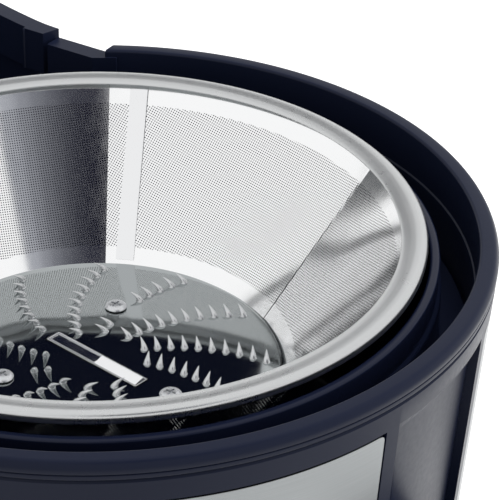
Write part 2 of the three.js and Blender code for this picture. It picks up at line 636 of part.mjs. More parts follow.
// Juice bowl: lip, wall, flange on the collar's shelf, floor with a boss, and the port to the spout
function bowl() {
  const footZ = RIM_Z - BOWL_DROP;
  const bossR = HUB_R + BOSS_GAP;
  const footR = bowlR - 3;
  const bossZ = RIM_Z - BOSS_DROP;
  const body = ring([
    [bossR, footZ], [footR, footZ], [bowlR - 0.6, flangeZ - flangeT], [flangeR, flangeZ - flangeT],
    [flangeR, flangeZ], [bowlR, flangeZ], [bowlR, RIM_Z - 14], [lipOuter, RIM_Z - LIP_DROP],
    [lipInner, RIM_Z - LIP_DROP], [lipInner + 0.2, RIM_Z - LIP_DROP - 3],
    [bowlR - BOWL_T, flangeZ], [footR - BOWL_T, footZ + BOWL_T],
    [bossR + BOWL_T, footZ + BOWL_T], [bossR + BOWL_T, bossZ], [bossR, bossZ]]);
  const port = block(-SPOUT_HALF + SPOUT_WALL, SPOUT_HALF - SPOUT_WALL, -bowlR - 5, -bowlR + 9,
    spoutZ - SPOUT_HEIGHT / 2 + SPOUT_WALL, spoutZ + SPOUT_HEIGHT / 2 - SPOUT_WALL);
  place("juice_bowl", cut(body, port), blackPlastic);
}

// Spout: a square duct through the housing's channel, and a tip that flips up to stop drips
const tipPivotY = -(DUCT_REACH - TIP_PIVOT_BACK);

function spout() {
  const half = SPOUT_HEIGHT / 2;
  const back = -(bowlR + 1.4);
  const tube = block(-SPOUT_HALF, SPOUT_HALF, -DUCT_REACH, back, spoutZ - half, spoutZ + half);
  const lipHalf = SPOUT_HALF + 3;
  const wallIn = (outer(spoutZ - half - 2) - CHANNEL_DEPTH - WALL) * Math.cos(Math.PI / ROUND);
  const lipFront = -Math.sqrt(wallIn ** 2 - lipHalf ** 2) + GAP;
  const lip = block(-lipHalf, lipHalf, lipFront, back, spoutZ - half - 2, spoutZ + half + 2);
  const way = block(-SPOUT_HALF + SPOUT_WALL, SPOUT_HALF - SPOUT_WALL, -DUCT_REACH - 1, back + 1,
    spoutZ - half + SPOUT_WALL, spoutZ + half - SPOUT_WALL);
  const bosses = [-1, 1].map((side) => {
    const from = side * (SPOUT_HALF - SPOUT_WALL / 2);
    return rod(TIP_BOSS_R, [from, tipPivotY, spoutZ], [side * (SPOUT_HALF + 2.4), tipPivotY, spoutZ], 12);
  });
  place("spout_duct", join(cut(join(tube, lip), way), ...bosses), blackPlastic);
  tip(half);
}

function tip(half) {
  const inside = SPOUT_HALF + RUN;
  const wide = inside + SPOUT_WALL;
  const floorZ = spoutZ - Math.hypot(TIP_PIVOT_BACK, half) - RUN;
  const low = floorZ - TIP_FLOOR_T;
  const y = -SPOUT_REACH;
  const side = outlineOf([[y, low], [tipPivotY + 4, low], [tipPivotY + 7, spoutZ - 5],
    [tipPivotY + 7, spoutZ + 4], [tipPivotY + 3, spoutZ + 9], [tipPivotY - 3, spoutZ + 9],
    [y, spoutZ - 6]]);
  const turn = new THREE.Matrix4().makeBasis(
    new THREE.Vector3(0, 1, 0), new THREE.Vector3(0, 0, 1), new THREE.Vector3(1, 0, 0));
  const shape = new THREE.ExtrudeGeometry(side, { depth: 2 * wide, bevelEnabled: false });
  const body = solid(shape.applyMatrix4(turn).translate(-wide, 0, 0));
  const trough = block(-inside, inside, y - 1, tipPivotY + 10, floorZ, spoutZ + half + 5);
  const pivot = rod(TIP_BOSS_R + GAP, [-wide - 1, tipPivotY, spoutZ], [wide + 1, tipPivotY, spoutZ], 12);
  place("spout_tip", cut(body, trough, pivot), blackPlastic);
}

// Latches: on each side a bracket with two ears, a pin, and an arm with a hook at its end
function latches() {
  const clear = ring([[0.01, latchZ - 30], [outer(latchZ - 30) + GAP, latchZ - 30],
    [outer(latchZ + 30) + GAP, latchZ + 30], [0.01, latchZ + 30]]);
  [["right", 1], ["left", -1]].forEach(([word, side]) => {
    const across = (a, b) => [side * a, side * b].sort((p, q) => p - q);
    const out = latchX + LATCH_BARREL + 0.5;
    const earIn = LATCH_HALF + RUN;
    const pad = block(...across(collarR * 0.9, latchX - LATCH_BARREL - RUN), -earIn - EAR_T, earIn + EAR_T,
      latchZ - 9, latchZ + 8);
    const ears = [[-earIn - EAR_T, -earIn], [earIn, earIn + EAR_T]].map(([y0, y1]) =>
      block(...across(latchX - LATCH_BARREL - 1, out), y0, y1, latchZ - 5, latchZ + 5));
    const pinEnd = earIn + EAR_T - 1;
    const hole = (r, reach) => rod(r, [side * latchX, -reach, latchZ], [side * latchX, reach, latchZ], 12);
    const body = cut(join(pad, ...ears), clear, hole(LATCH_PIN_R + GAP, pinEnd + 3));
    place(`latch_bracket_${word}`, body, blackPlastic);
    place(`latch_pin_${word}`, hole(LATCH_PIN_R, pinEnd), castMetal);
    place(`latch_arm_${word}`, arm(side, across, hole(LATCH_PIN_R + GAP, pinEnd + 3)), blackPlastic);
  });
}

function arm(side, across, bore) {
  const barrel = rod(LATCH_BARREL, [side * latchX, -LATCH_HALF, latchZ], [side * latchX, LATCH_HALF, latchZ], 16);
  const plane = [latchX + 0.8, latchX + LATCH_BARREL - 0.2];
  const foot = latchZ - LATCH_LENGTH;
  const strap = block(...across(...plane), -LATCH_HALF + 2, LATCH_HALF - 2, foot, latchZ);
  const hook = block(...across(plane[0], latchX + LATCH_BARREL + 4), -LATCH_HALF + 6, LATCH_HALF - 6,
    foot, foot + 3.4);
  return cut(join(barrel, strap, hook), bore);
}

// Speed knob in a recessed bezel on the right, with its switch behind, all on the housing's lean
function speedControl() {
  const stand = new THREE.Group();
  stand.position.set(outer(KNOB_Z), 0, KNOB_Z);
  stand.rotation.y = Math.PI / 2 + tilt;
  machine.add(stand);
  const bezelFoot = -7;
  const cup = ring([[4, bezelFoot], [bezelR, bezelFoot], [bezelR, 1.6], [bezelR - 1, 2],
    [KNOB_R + RUN, 2], [KNOB_R + RUN, bezelFoot + 2], [4, bezelFoot + 2]], 24);
  place("knob_bezel", cup, blackPlastic, stand);
  const knobFoot = bezelFoot + 2 + RUN;
  const cap = turned([[0, knobFoot], [KNOB_R, knobFoot], [KNOB_R, 5], [KNOB_R - 2, KNOB_PROUD - 3],
    [0, KNOB_PROUD - 3]], 24);
  const grip = block(-KNOB_R + 3, KNOB_R - 3, -3, 3, 4, KNOB_PROUD);
  const stem = disc(3, bezelFoot - 6, knobFoot + 1, 12);
  place("speed_knob", join(cap, grip, stem), blackPlastic, stand);
  const back = bezelFoot - GAP;
  const box = cut(block(-14, 14, -14, 14, back - 17, back), disc(3 + GAP, back - 8, back + 1, 12));
  place("speed_switch", box, darkPlastic, stand);
}

function board() {
  const z = baseTopZ + 7;
  const edge = baseScrewR - SCREW_R - 1;
  const inner = edge - 38;
  const sheet = block(inner, edge, -24, 24, z, z + 1.6);
  const parts = [block(inner + 6, inner + 16, -18, -6, z + 1, z + 13),
    block(inner + 6, inner + 14, 2, 12, z + 1, z + 10), block(edge - 16, edge - 6, -4, 12, z + 1, z + 8)];
  const standoffs = [[inner + 3, -21], [inner + 3, 21], [edge - 3, -21], [edge - 3, 21]].map(([x, y]) =>
    rod(2.5, [x, y, baseTopZ + GAP], [x, y, z + 0.5], 8));
  place("control_board", join(sheet, ...parts, ...standoffs), boardGreen);
}

// Pulp bin behind the housing, hollowed in front to fit round it, with a lip and a finger grip
const binInner = chuteHalf + 1;

function binSides() {
  const start = chuteOuter + 0.8;
  const wide = start + BIN_BULGE;
  const run = binBackY - binStartY;
  const right = [[start, binStartY], [start + 0.8, binStartY + 8], [start + 4.5, binStartY + 24],
    [start + 9.4, binStartY + 40], [wide - 0.9, binStartY + run * 0.52], [wide, binStartY + run * 0.68],
    [wide - 2.5, binBackY - 20], [wide - 9, binBackY - 8], [wide - 20, binBackY - 2], [wide - 36, binBackY]];
  return [...right, ...right.map(([x, y]) => [-x, y]).reverse()];
}

function binFront() {
  const angle = THREE.MathUtils.radToDeg(Math.atan2(binStartY, binInner));
  const reach = Math.hypot(binInner, binStartY);
  const steps = 16;
  return Array.from({ length: steps + 1 }, (_, i) =>
    polar(reach, 180 - angle - ((180 - 2 * angle) * i) / steps));
}

function bin() {
  const outline = [...binSides(), ...binFront()];
  const z0 = baseTopZ + GAP;
  const lipZ = RIM_Z - BIN_LIP_HEIGHT;
  const whole = plate(outlineOf(outline), z0, RIM_Z);
  const room = plate(outlineOf(inset(outline, BIN_T)), z0 + BIN_T, lipZ);
  const mouth = plate(outlineOf(inset(binSides(), BIN_LIP)), lipZ - 0.5, RIM_Z + 1);
  const frontTop = floorFootZ - 2;
  const front = common(disc(floorR + 2.5, frontTop, RIM_Z + 1),
    block(-binInner, binInner, 0, floorR + 5, frontTop, RIM_Z + 1));
  const grip = plate(rounded(32, 10, 6), RIM_Z - 30, RIM_Z - 24).translate([0, REAR_REACH - 10, 0]);
  const keep = block(-40, 40, binBackY - BIN_T / 2, REAR_REACH + 1, RIM_Z - 40, RIM_Z - 10);
  place("pulp_bin", join(cut(whole, room, mouth, front), common(grip, keep)), blackPlastic);
}

base();
housing();
panels();
collar();
deck();
motorFrame();
brushes();
rotor();
basket();
bowl();
spout();
latches();
speedControl();
board();
bin();

export default root;
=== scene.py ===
import math
import bpy
import bmesh
from mathutils import Matrix, Vector


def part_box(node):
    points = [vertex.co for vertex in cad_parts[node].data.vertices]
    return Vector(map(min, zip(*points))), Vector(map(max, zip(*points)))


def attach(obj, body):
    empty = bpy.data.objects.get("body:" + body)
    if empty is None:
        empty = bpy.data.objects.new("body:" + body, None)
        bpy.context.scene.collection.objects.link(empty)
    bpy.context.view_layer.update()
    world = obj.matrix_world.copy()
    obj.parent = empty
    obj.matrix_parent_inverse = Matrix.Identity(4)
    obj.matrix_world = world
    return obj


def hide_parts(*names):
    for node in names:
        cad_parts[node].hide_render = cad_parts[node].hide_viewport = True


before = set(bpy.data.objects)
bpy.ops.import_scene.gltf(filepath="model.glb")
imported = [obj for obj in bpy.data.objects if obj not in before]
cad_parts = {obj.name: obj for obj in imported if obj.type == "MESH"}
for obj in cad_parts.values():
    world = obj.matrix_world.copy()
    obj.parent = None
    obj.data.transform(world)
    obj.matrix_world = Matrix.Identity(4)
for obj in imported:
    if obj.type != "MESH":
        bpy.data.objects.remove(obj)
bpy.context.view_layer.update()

# Camera: a long lens from the front left, looking down on the open basket. The numbers come from fitting the
# basket rim's ellipse, and are measured from the middle of the rim. Lengths are in millimetres until MM.
MM = 0.001
rim_low, rim_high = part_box("basket_rim")
axis_y = (rim_low.y + rim_high.y) / 2
rim_r = (rim_high.x - rim_low.x) / 2 / MM
rim_z = rim_high.z / MM
camera_turn = 35
heading = Vector((math.cos(math.radians(camera_turn)), math.sin(math.radians(camera_turn)), 0))
heading_right = Vector((heading.y, -heading.x, 0))
up = Vector((0, 0, 1))
pitch = 0.53375
forward = heading * math.cos(pitch) - up * math.sin(pitch)
upward = heading * math.sin(pitch) + up * math.cos(pitch)
camera = bpy.data.objects.new("camera", bpy.data.cameras.new("camera"))
camera.data.sensor_width = 36
camera.data.lens = 165.6
camera.data.clip_start = 0.02
camera_reach = 0.586
camera_place = Vector((0, axis_y, rim_z * MM)) - forward * camera_reach
pan = 0.06735
nod = -0.01358
roll = 0.01331
right = heading_right * math.cos(pan) - forward * math.sin(pan)
ahead = heading_right * math.sin(pan) + forward * math.cos(pan)
top = upward * math.cos(nod) - ahead * math.sin(nod)
ahead = upward * math.sin(nod) + ahead * math.cos(nod)
right, top = right * math.cos(roll) - top * math.sin(roll), right * math.sin(roll) + top * math.cos(roll)
camera.matrix_world = Matrix((
    (right.x, top.x, -ahead.x, camera_place.x), (right.y, top.y, -ahead.y, camera_place.y),
    (right.z, top.z, -ahead.z, camera_place.z), (0, 0, 0, 1)))
bpy.context.scene.collection.objects.link(camera)
bpy.context.scene.camera = camera
bpy.context.scene.view_settings.view_transform = "Standard"

# Studio: a pale floor, a white surround, two softboxes, and dark cards that only reflections see, because
# polished steel looks like steel only where it has something dark to mirror.
floor_mesh = bpy.data.meshes.new("floor")
floor_mesh.from_pydata([(-4, -4, 0), (4, -4, 0), (4, 4, 0), (-4, 4, 0)], [], [(0, 1, 2, 3)])
floor = bpy.data.objects.new("floor", floor_mesh)
bpy.context.scene.collection.objects.link(floor)
paper = bpy.data.materials.new("paper")
paper.use_nodes = True
paper.node_tree.nodes["Principled BSDF"].inputs["Base Color"].default_value = (0.93, 0.93, 0.93, 1)
paper.node_tree.nodes["Principled BSDF"].inputs["Roughness"].default_value = 0.9
floor_mesh.materials.append(paper)

world = bpy.data.worlds.new("surround")
world.use_nodes = True
world.node_tree.nodes["Background"].inputs["Color"].default_value = (1, 1, 1, 1)
world.node_tree.nodes["Background"].inputs["Strength"].default_value = 1.0
bpy.context.scene.world = world


def aim(obj, place, target):
    obj.location = place
    obj.rotation_mode = "QUATERNION"
    obj.rotation_quaternion = (Vector(target) - Vector(place)).to_track_quat("-Z", "Y")


def softbox(name, place, target, size, power):
    light = bpy.data.lights.new(name, "AREA")
    light.shape = "RECTANGLE"
    light.size, light.size_y = size
    light.energy = power
    obj = bpy.data.objects.new(name, light)
    obj.visible_glossy = False
    aim(obj, place, target)
    bpy.context.scene.collection.objects.link(obj)
    return obj


def compass(turn, reach, height):
    """A point round the basket: turn in degrees from the camera's heading, clockwise from above."""
    angle = math.radians(camera_turn - turn)
    return Vector((math.cos(angle) * reach, axis_y + math.sin(angle) * reach, height))


basket_middle = Vector((0, axis_y, 0.23))
softbox("top_box", compass(60, 0.35, 1.25), basket_middle, (0.7, 0.7), 9)
softbox("side_box", compass(95, 1.1, 0.75), basket_middle, (0.5, 0.9), 10)


def dark_card(name, turns, reach, feet, head, tone):
    """A curved card between two turns; its lower edge runs from one height to the other."""
    steps = 8
    points = []
    for low, high in (feet, (head, head)):
        for i in range(steps + 1):
            points.append(compass(turns[0] + (turns[1] - turns[0]) * i / steps, reach,
                                  low + (high - low) * i / steps))
    mesh = bpy.data.meshes.new(name)
    row = steps + 1
    mesh.from_pydata(points, [], [(i, i + 1, row + i + 1, row + i) for i in range(steps)])
    card = bpy.data.objects.new(name, mesh)
    surface = bpy.data.materials.new(name)
    surface.use_nodes = True
    nodes = surface.node_tree.nodes
    nodes.remove(nodes["Principled BSDF"])
    glow = nodes.new("ShaderNodeEmission")
    glow.inputs["Color"].default_value = (*tone, 1)
    surface.node_tree.links.new(glow.outputs[0], nodes["Material Output"].inputs["Surface"])
    mesh.materials.append(surface)
    bpy.context.scene.collection.objects.link(card)
    card.visible_camera = False
    card.visible_diffuse = False
    card.visible_shadow = False
    card.visible_transmission = False


dark_card("far_card", (-16, 14), 0.42, (0.452, 0.452), 0.585, (0.008, 0.01, 0.022))
dark_card("side_card", (-54, -38), 0.60, (0.40, 0.355), 0.62, (0.12, 0.125, 0.13))
near_turns = (182, 174, 169, 165, 161, 156, 150, 143, 133)
near_tones = (0.016, 0.026, 0.045, 0.07, 0.11, 0.17, 0.25, 0.36)
for number, tone in enumerate(near_tones):
    dark_card(f"near_card_{number}", near_turns[number:number + 2], 0.50, (0.58, 0.58), 1.2,
              (tone, tone * 1.03, tone * 1.1 + 0.012))

# Feet: four rubber feet under the base, turned with a small chamfer and a recess round their foot. They carry
# the base plate 5 mm above the table.


def soft(outline, radius, steps=3):
    """Rounds each corner of a closed outline; a third number on a point is that corner's own radius."""
    points = []
    count = len(outline)
    for i, corner in enumerate(outline):
        here = Vector(corner[:2])
        r = corner[2] if len(corner) > 2 else radius
        before = Vector(outline[i - 1][:2]) - here
        after = Vector(outline[(i + 1) % count][:2]) - here
        reach = min(r, before.length * 0.48, after.length * 0.48)
        if reach < 0.02:
            points.append(tuple(here))
            continue
        start = here + before.normalized() * reach
        end = here + after.normalized() * reach
        for k in range(steps + 1):
            t = k / steps
            point = start * (1 - t) ** 2 + here * 2 * t * (1 - t) + end * t ** 2
            points.append(tuple(point))
    return points


def ring(outline, steps=180):
    """A ring about the spin axis from a closed outline of radius and height."""
    verts, faces = [], []
    count = len(outline)
    for i in range(steps):
        angle = 2 * math.pi * i / steps
        verts += [(r * math.cos(angle), r * math.sin(angle), z) for r, z in outline]
        after = (i + 1) % steps
        for k in range(count):
            m = (k + 1) % count
            faces.append((i * count + k, after * count + k, after * count + m, i * count + m))
    return verts, faces


def turned(outline, steps=48, place=(0, 0)):
    """A round block: the outline starts and ends on the axis, which stands at place."""
    verts, faces = [], []
    inner = outline[1:-1]
    count = len(inner)
    for i in range(steps):
        angle = 2 * math.pi * i / steps
        verts += [(r * math.cos(angle) + place[0], r * math.sin(angle) + place[1], z) for r, z in inner]
    verts += [(*place, outline[0][1]), (*place, outline[-1][1])]
    foot, head = len(verts) - 2, len(verts) - 1
    for i in range(steps):
        after = (i + 1) % steps
        faces.append((foot, after * count, i * count))
        faces.append((head, i * count + count - 1, after * count + count - 1))
        for k in range(count - 1):
            faces.append((i * count + k, after * count + k, after * count + k + 1, i * count + k + 1))
    return verts, faces


def raw(name, solid, turn=None):
    verts, faces = solid
    mesh = bpy.data.meshes.new(name)
    if turn is not None:
        verts = [tuple(turn @ Vector(v)) for v in verts]
    mesh.from_pydata([(x * MM, y * MM + axis_y, z * MM) for x, y, z in verts], [], faces)
    work = bmesh.new()
    work.from_mesh(mesh)
    bmesh.ops.remove_doubles(work, verts=work.verts, dist=1e-7)
    bmesh.ops.recalc_face_normals(work, faces=work.faces)
    work.to_mesh(mesh)
    work.free()
    obj = bpy.data.objects.new(name, mesh)
    bpy.context.scene.collection.objects.link(obj)
    return obj


def dress(obj, body, nodes, material, edge=0.0, sharp=34):
    """Smooth shading, a rounded edge, the finish, and the CAD body that the piece rides on."""
    obj.data.materials.clear()
    obj.data.materials.append(material)
    for face in obj.data.polygons:
        face.use_smooth = True
    if edge:
        bevel = obj.modifiers.new("edge", "BEVEL")
        bevel.width = edge * MM
        bevel.segments = 2
        bevel.limit_method = "ANGLE"
        bevel.angle_limit = math.radians(sharp)
        bevel.harden_normals = True
    else:
        obj.data.set_sharp_from_angle(angle=math.radians(sharp))
    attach(obj, body)
    if nodes:
        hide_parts(*nodes)
    return obj


def texture_group(name, stretch, scale, detail):
    """Grain at one scale, as a roughness between Low and High and as a height."""
    group = bpy.data.node_groups.new(name, "ShaderNodeTree")
    for label, low in (("Low", 0.3), ("High", 0.5)):
        group.interface.new_socket(label, in_out="INPUT", socket_type="NodeSocketFloat").default_value = low
    group.interface.new_socket("Roughness", in_out="OUTPUT", socket_type="NodeSocketFloat")
    group.interface.new_socket("Height", in_out="OUTPUT", socket_type="NodeSocketFloat")
    nodes, links = group.nodes, group.links
    source = nodes.new("NodeGroupInput")
    sink = nodes.new("NodeGroupOutput")
    place = nodes.new("ShaderNodeTexCoord")
    mapping = nodes.new("ShaderNodeMapping")
    mapping.inputs["Scale"].default_value = stretch
    links.new(place.outputs["Object"], mapping.inputs["Vector"])
    fine = nodes.new("ShaderNodeTexNoise")
    fine.inputs["Scale"].default_value = scale
    fine.inputs["Detail"].default_value = detail
    links.new(mapping.outputs[0], fine.inputs["Vector"])
    broad = nodes.new("ShaderNodeTexNoise")
    broad.inputs["Scale"].default_value = 18
    broad.inputs["Detail"].default_value = 3
    links.new(place.outputs["Object"], broad.inputs["Vector"])
    mix = nodes.new("ShaderNodeMath")
    mix.operation = "MULTIPLY_ADD"
    mix.inputs[1].default_value = 0.5
    links.new(fine.outputs[0], mix.inputs[0])
    half = nodes.new("ShaderNodeMath")
    half.operation = "MULTIPLY"
    half.inputs[1].default_value = 0.5
    links.new(broad.outputs[0], half.inputs[0])
    links.new(half.outputs[0], mix.inputs[2])
    spread = nodes.new("ShaderNodeMapRange")
    spread.inputs["From Min"].default_value = 0.3
    spread.inputs["From Max"].default_value = 0.7
    links.new(mix.outputs[0], spread.inputs["Value"])
    links.new(source.outputs["Low"], spread.inputs["To Min"])
    links.new(source.outputs["High"], spread.inputs["To Max"])
    links.new(spread.outputs[0], sink.inputs["Roughness"])
    links.new(fine.outputs[0], sink.inputs["Height"])
    return group


def finish(name, colour, group, low, high, metal=0.0, bump=0.1, depth=0.02, coat=0.0, gleam=0.5):
    """A material whose roughness and bump come from one grain group."""
    material = bpy.data.materials.new(name)
    material.use_nodes = True
    nodes, links = material.node_tree.nodes, material.node_tree.links
    shader = nodes["Principled BSDF"]
    shader.inputs["Base Color"].default_value = (*colour, 1)
    shader.inputs["Metallic"].default_value = metal
    shader.inputs["Coat Weight"].default_value = coat
    shader.inputs["Specular IOR Level"].default_value = gleam
    shader.inputs["Coat Roughness"].default_value = 0.15
    grain = nodes.new("ShaderNodeGroup")
    grain.node_tree = group
    grain.inputs["Low"].default_value = low
    grain.inputs["High"].default_value = high
    links.new(grain.outputs["Roughness"], shader.inputs["Roughness"])
    relief = nodes.new("ShaderNodeBump")
    relief.inputs["Strength"].default_value = bump
    relief.inputs["Distance"].default_value = depth * MM
    links.new(grain.outputs["Height"], relief.inputs["Height"])
    links.new(relief.outputs[0], shader.inputs["Normal"])
    return material


pebble = texture_group("pebble", (1, 1, 1), 1500, 2)
rubber = finish("rubber", (0.014, 0.014, 0.015), pebble, 0.75, 0.95, bump=0.4, depth=0.06)
for number in range(1, 5):
    low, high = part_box(f"foot_{number}")
    spot = ((low.x + high.x) / 2 / MM, ((low.y + high.y) / 2 - axis_y) / MM)
    r = (high.x - low.x) / 2 / MM
    h = high.z / MM
    profile = soft([(0.001, 0), (r - 3.6, 0), (r - 3.2, 0.7), (r - 2.4, 0.7), (r - 1.9, 0), (r - 1, 0),
                    (r, h - 0.8), (r - 0.4, h), (0.001, h)], 0.25)
    dress(raw(f"foot_{number}_pad", turned([(0, 0), *profile[1:-1], (0, h)], 40, spot)), "housing",
          [f"foot_{number}"], rubber)

# Base plate: an injection-moulded tray that closes the housing from below, with a tongue behind it that
# carries the pulp bin. Four plated screws hold it up into the housing.
eggshell = texture_group("eggshell", (1, 1, 1), 700, 3)
matte_black = finish("matte_black", (0.008, 0.009, 0.013), eggshell, 0.5, 0.62, bump=0.25, depth=0.05)
plated = finish("plated_steel", (0.62, 0.63, 0.65), eggshell, 0.22, 0.34, metal=1, bump=0.1)


def keep_cad(name, material, edge=0.0):
    """A CAD piece whose shape is right gets its finish and, where it shows, a rounded edge."""
    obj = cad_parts[name]
    obj.material_slots[0].link = "OBJECT"
    obj.material_slots[0].material = material
    if edge:
        bevel = obj.modifiers.new("edge", "BEVEL")
        bevel.width = edge * MM
        bevel.segments = 2
        bevel.limit_method = "ANGLE"
        bevel.angle_limit = math.radians(40)
        bevel.harden_normals = True
    return obj


keep_cad("base_plate", matte_black, 0.5)
for number in range(1, 5):
    keep_cad(f"base_screw_{number}", plated, 0.2)

# Motor: a universal motor on two die-cast end brackets. The stator and armature are stacks of electrical
# steel, the coils are enamelled copper wire, and the shaft runs in sintered bronze bushes.
layers = texture_group("layers", (1, 1, 90), 14, 1)
wire = texture_group("wire", (1, 1, 60), 22, 2)
laminated = finish("lamination", (0.24, 0.25, 0.26), layers, 0.4, 0.6, metal=1, bump=0.6, depth=0.1)
enamelled = finish("enamelled_copper", (0.52, 0.2, 0.07), wire, 0.2, 0.35, metal=0.9, bump=0.9, depth=0.25)
bright_copper = finish("commutator_copper", (0.66, 0.3, 0.16), layers, 0.2, 0.32, metal=1, bump=0.2)
cast = finish("die_cast", (0.45, 0.46, 0.47), eggshell, 0.4, 0.6, metal=1, bump=0.5, depth=0.1)
sintered = finish("sintered_bronze", (0.42, 0.3, 0.12), pebble, 0.35, 0.5, metal=1, bump=0.3, depth=0.04)
carbon = finish("carbon", (0.03, 0.03, 0.03), pebble, 0.5, 0.7, metal=0.2, bump=0.3, depth=0.04)
circuit = finish("circuit_board", (0.015, 0.11, 0.04), eggshell, 0.35, 0.5, bump=0.2, coat=0.4)
for name, material, edge in (
        ("stator_core", laminated, 0.3), ("armature_core", laminated, 0.3),
        ("field_coil_front", enamelled, 1.4), ("field_coil_rear", enamelled, 1.4),
        ("armature_winding_lower", enamelled, 0.8), ("armature_winding_upper", enamelled, 0.8),
        ("commutator", bright_copper, 0.2), ("motor_shaft", plated, 0.4),
        ("bracket_lower", cast, 0.6), ("bracket_upper", cast, 0.6),
        ("bearing_lower", sintered, 0.3), ("bearing_upper", sintered, 0.3),
        ("brush_holder_left", sintered, 0.3), ("brush_holder_right", sintered, 0.3),
        ("carbon_brush_left", carbon, 0.2), ("carbon_brush_right", carbon, 0.2),
        ("cooling_fan", matte_black, 0.3), ("control_board", circuit, 0.2),
        ("speed_switch", matte_black, 0.8), ("motor_deck", matte_black, 0.4),
        ("shaft_seal", rubber, 0.4), ("drive_coupling", matte_black, 0.6), ("basket_hub", matte_black, 0.6)):
    keep_cad(name, material, edge)

# Motor housing: one tapered black moulding with a satin face. It has a recessed channel in front for the
# spout, a shallow pocket on each side for the steel panels, and a hole for the knob.
satin = finish("satin_black", (0.0054, 0.0076, 0.0185), eggshell, 0.3, 0.4, bump=0.12, depth=0.03, gleam=0.11)
GAP = 0.3
WALL = 2.4
TAPER = 0.066
collar_r = 103.0
channel_half = 12
channel_depth = 2.5
housing_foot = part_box("motor_housing")[0].z / MM
housing_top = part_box("motor_housing")[1].z / MM


def outer(z):
    return collar_r - TAPER * (rim_z - z)


def prism(outline, z0, z1):
    """A closed outline of x and y, carried up from z0 to z1."""
    count = len(outline)
    verts = [(x, y, z0) for x, y in outline] + [(x, y, z1) for x, y in outline]
    faces = [tuple(range(count)), tuple(range(count, 2 * count))]
    faces += [(i, (i + 1) % count, count + (i + 1) % count, count + i) for i in range(count)]
    return verts, faces


def block(x0, x1, y0, y1, z0, z1):
    return prism([(x0, y0), (x1, y0), (x1, y1), (x0, y1)], z0, z1)


def polar(r, degrees):
    return r * math.cos(math.radians(degrees)), r * math.sin(math.radians(degrees))


def wedge(start, end, reach, z0, z1):
    """A slice of pie about the spin axis between two angles from +X."""
    steps = max(2, math.ceil((end - start) / 10))
    arc = [polar(reach, start + (end - start) * i / steps) for i in range(steps + 1)]
    return prism([(0, 0), *arc], z0, z1)


def rod(r, start, end, steps=32):
    """A rod between two points."""
    a, b = Vector(start), Vector(end)
    turn = (b - a).to_track_quat("Z", "Y")
    verts, faces = prism([polar(r, 360 * i / steps) for i in range(steps)], 0, (b - a).length)
    return [tuple(a + turn @ Vector(v)) for v in verts], faces


SLIVER = 1e-5


def carve(obj, *tools, operation="DIFFERENCE"):
    """Cuts, joins or keeps what the tools mark out, and merges slivers, which would spoil the next cut."""
    for tool in tools:
        cutter = tool if isinstance(tool, bpy.types.Object) else raw("tool", tool)
        step = obj.modifiers.new("step", "BOOLEAN")
        step.operation = operation
        step.solver = "EXACT"
        step.object = cutter
        graph = bpy.context.evaluated_depsgraph_get()
        shaped = bpy.data.meshes.new_from_object(obj.evaluated_get(graph))
        obj.modifiers.clear()
        merged = bmesh.new()
        merged.from_mesh(shaped)
        bmesh.ops.remove_doubles(merged, verts=merged.verts, dist=SLIVER)
        bmesh.ops.dissolve_degenerate(merged, edges=merged.edges, dist=SLIVER)
        merged.to_mesh(shaped)
        merged.free()
        obj.data = shaped
        bpy.data.objects.remove(cutter)
    return obj


def wall_ring(out, depth, z0, z1):
    return ring([(outer(z0) - depth, z0), (outer(z0) - out, z0), (outer(z1) - out, z1),
                 (outer(z1) - depth, z1)])


channel_band = rim_z - 11
channel_foot = 24


def channel_space(grow=0.0):
    chamfer = channel_band - 5
    far = collar_r + 6
    space = raw("channel", ring([
        (far, channel_foot - grow), (outer(channel_foot) - channel_depth - grow, channel_foot - grow),
        (outer(chamfer) - channel_depth - grow, chamfer), (outer(channel_band) + 0.2 - grow, channel_band),
        (far, channel_band)]), Matrix.Rotation(math.radians(0.37), 4, "Z"))
    half = channel_half + grow
    return carve(space, wedge(-90 - half, -90 + half, far + 10, 0, rim_z), operation="INTERSECT")


knob_height = 74
bezel_r = 21.8
knob_lean = Matrix.Rotation(math.pi / 2 + math.atan(TAPER), 4, "Y")
knob_turn = Matrix.Translation((outer(knob_height), 0, knob_height)) @ knob_lean


def knob_space(r):
    verts, faces = prism([polar(r, 360 * i / 72) for i in range(72)], -20, 20)
    return [tuple(knob_turn @ Vector(v)) for v in verts], faces


panel_low, panel_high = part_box("steel_panel_right")
panel_foot = panel_low.z / MM
panel_top = panel_high.z / MM
panel_spans = ((-90 + 14.7, 22), (180 - 22, 270 - 14.7))
spout_z = 173
spout_half = 14
spout_height = 22
bowl_r = 89.0
skirt_r = 97.2
shelf_z = 221.0
cut_y = 53.0
floor_foot = shelf_z - 2
inlet = polar(outer(30), 150)

back_wall = raw("channel_back", wall_ring(WALL / 2, channel_depth + WALL, channel_foot - WALL,
                                          channel_band + 2))
back_half = channel_half + 1.6
carve(back_wall, wedge(-90 - back_half, -90 + back_half, collar_r + 5, 0, rim_z), operation="INTERSECT")
carve(back_wall, prism([polar(skirt_r, 2 * i) for i in range(180)], shelf_z, rim_z))
top_edge = housing_top - 0.6
housing = raw("housing_shell", ring(
    [(outer(housing_foot) - WALL, housing_foot), (outer(housing_foot) - 0.7, housing_foot),
     (outer(housing_foot + 0.8), housing_foot + 0.8), (outer(top_edge), top_edge),
     (outer(top_edge) - 0.5, housing_top), (outer(top_edge) - WALL, housing_top)], 240))
carve(housing, channel_space())
carve(housing, back_wall, operation="UNION")
carve(housing, channel_space())
for start, end in panel_spans:
    margin = math.degrees(0.5 / collar_r)
    pocket = raw("pocket", wall_ring(-1, 0.8 + GAP, panel_foot - 0.5, panel_top + 0.5))
    carve(pocket, wedge(start - margin, end + margin, collar_r + 10, 0, rim_z), operation="INTERSECT")
    carve(housing, pocket)
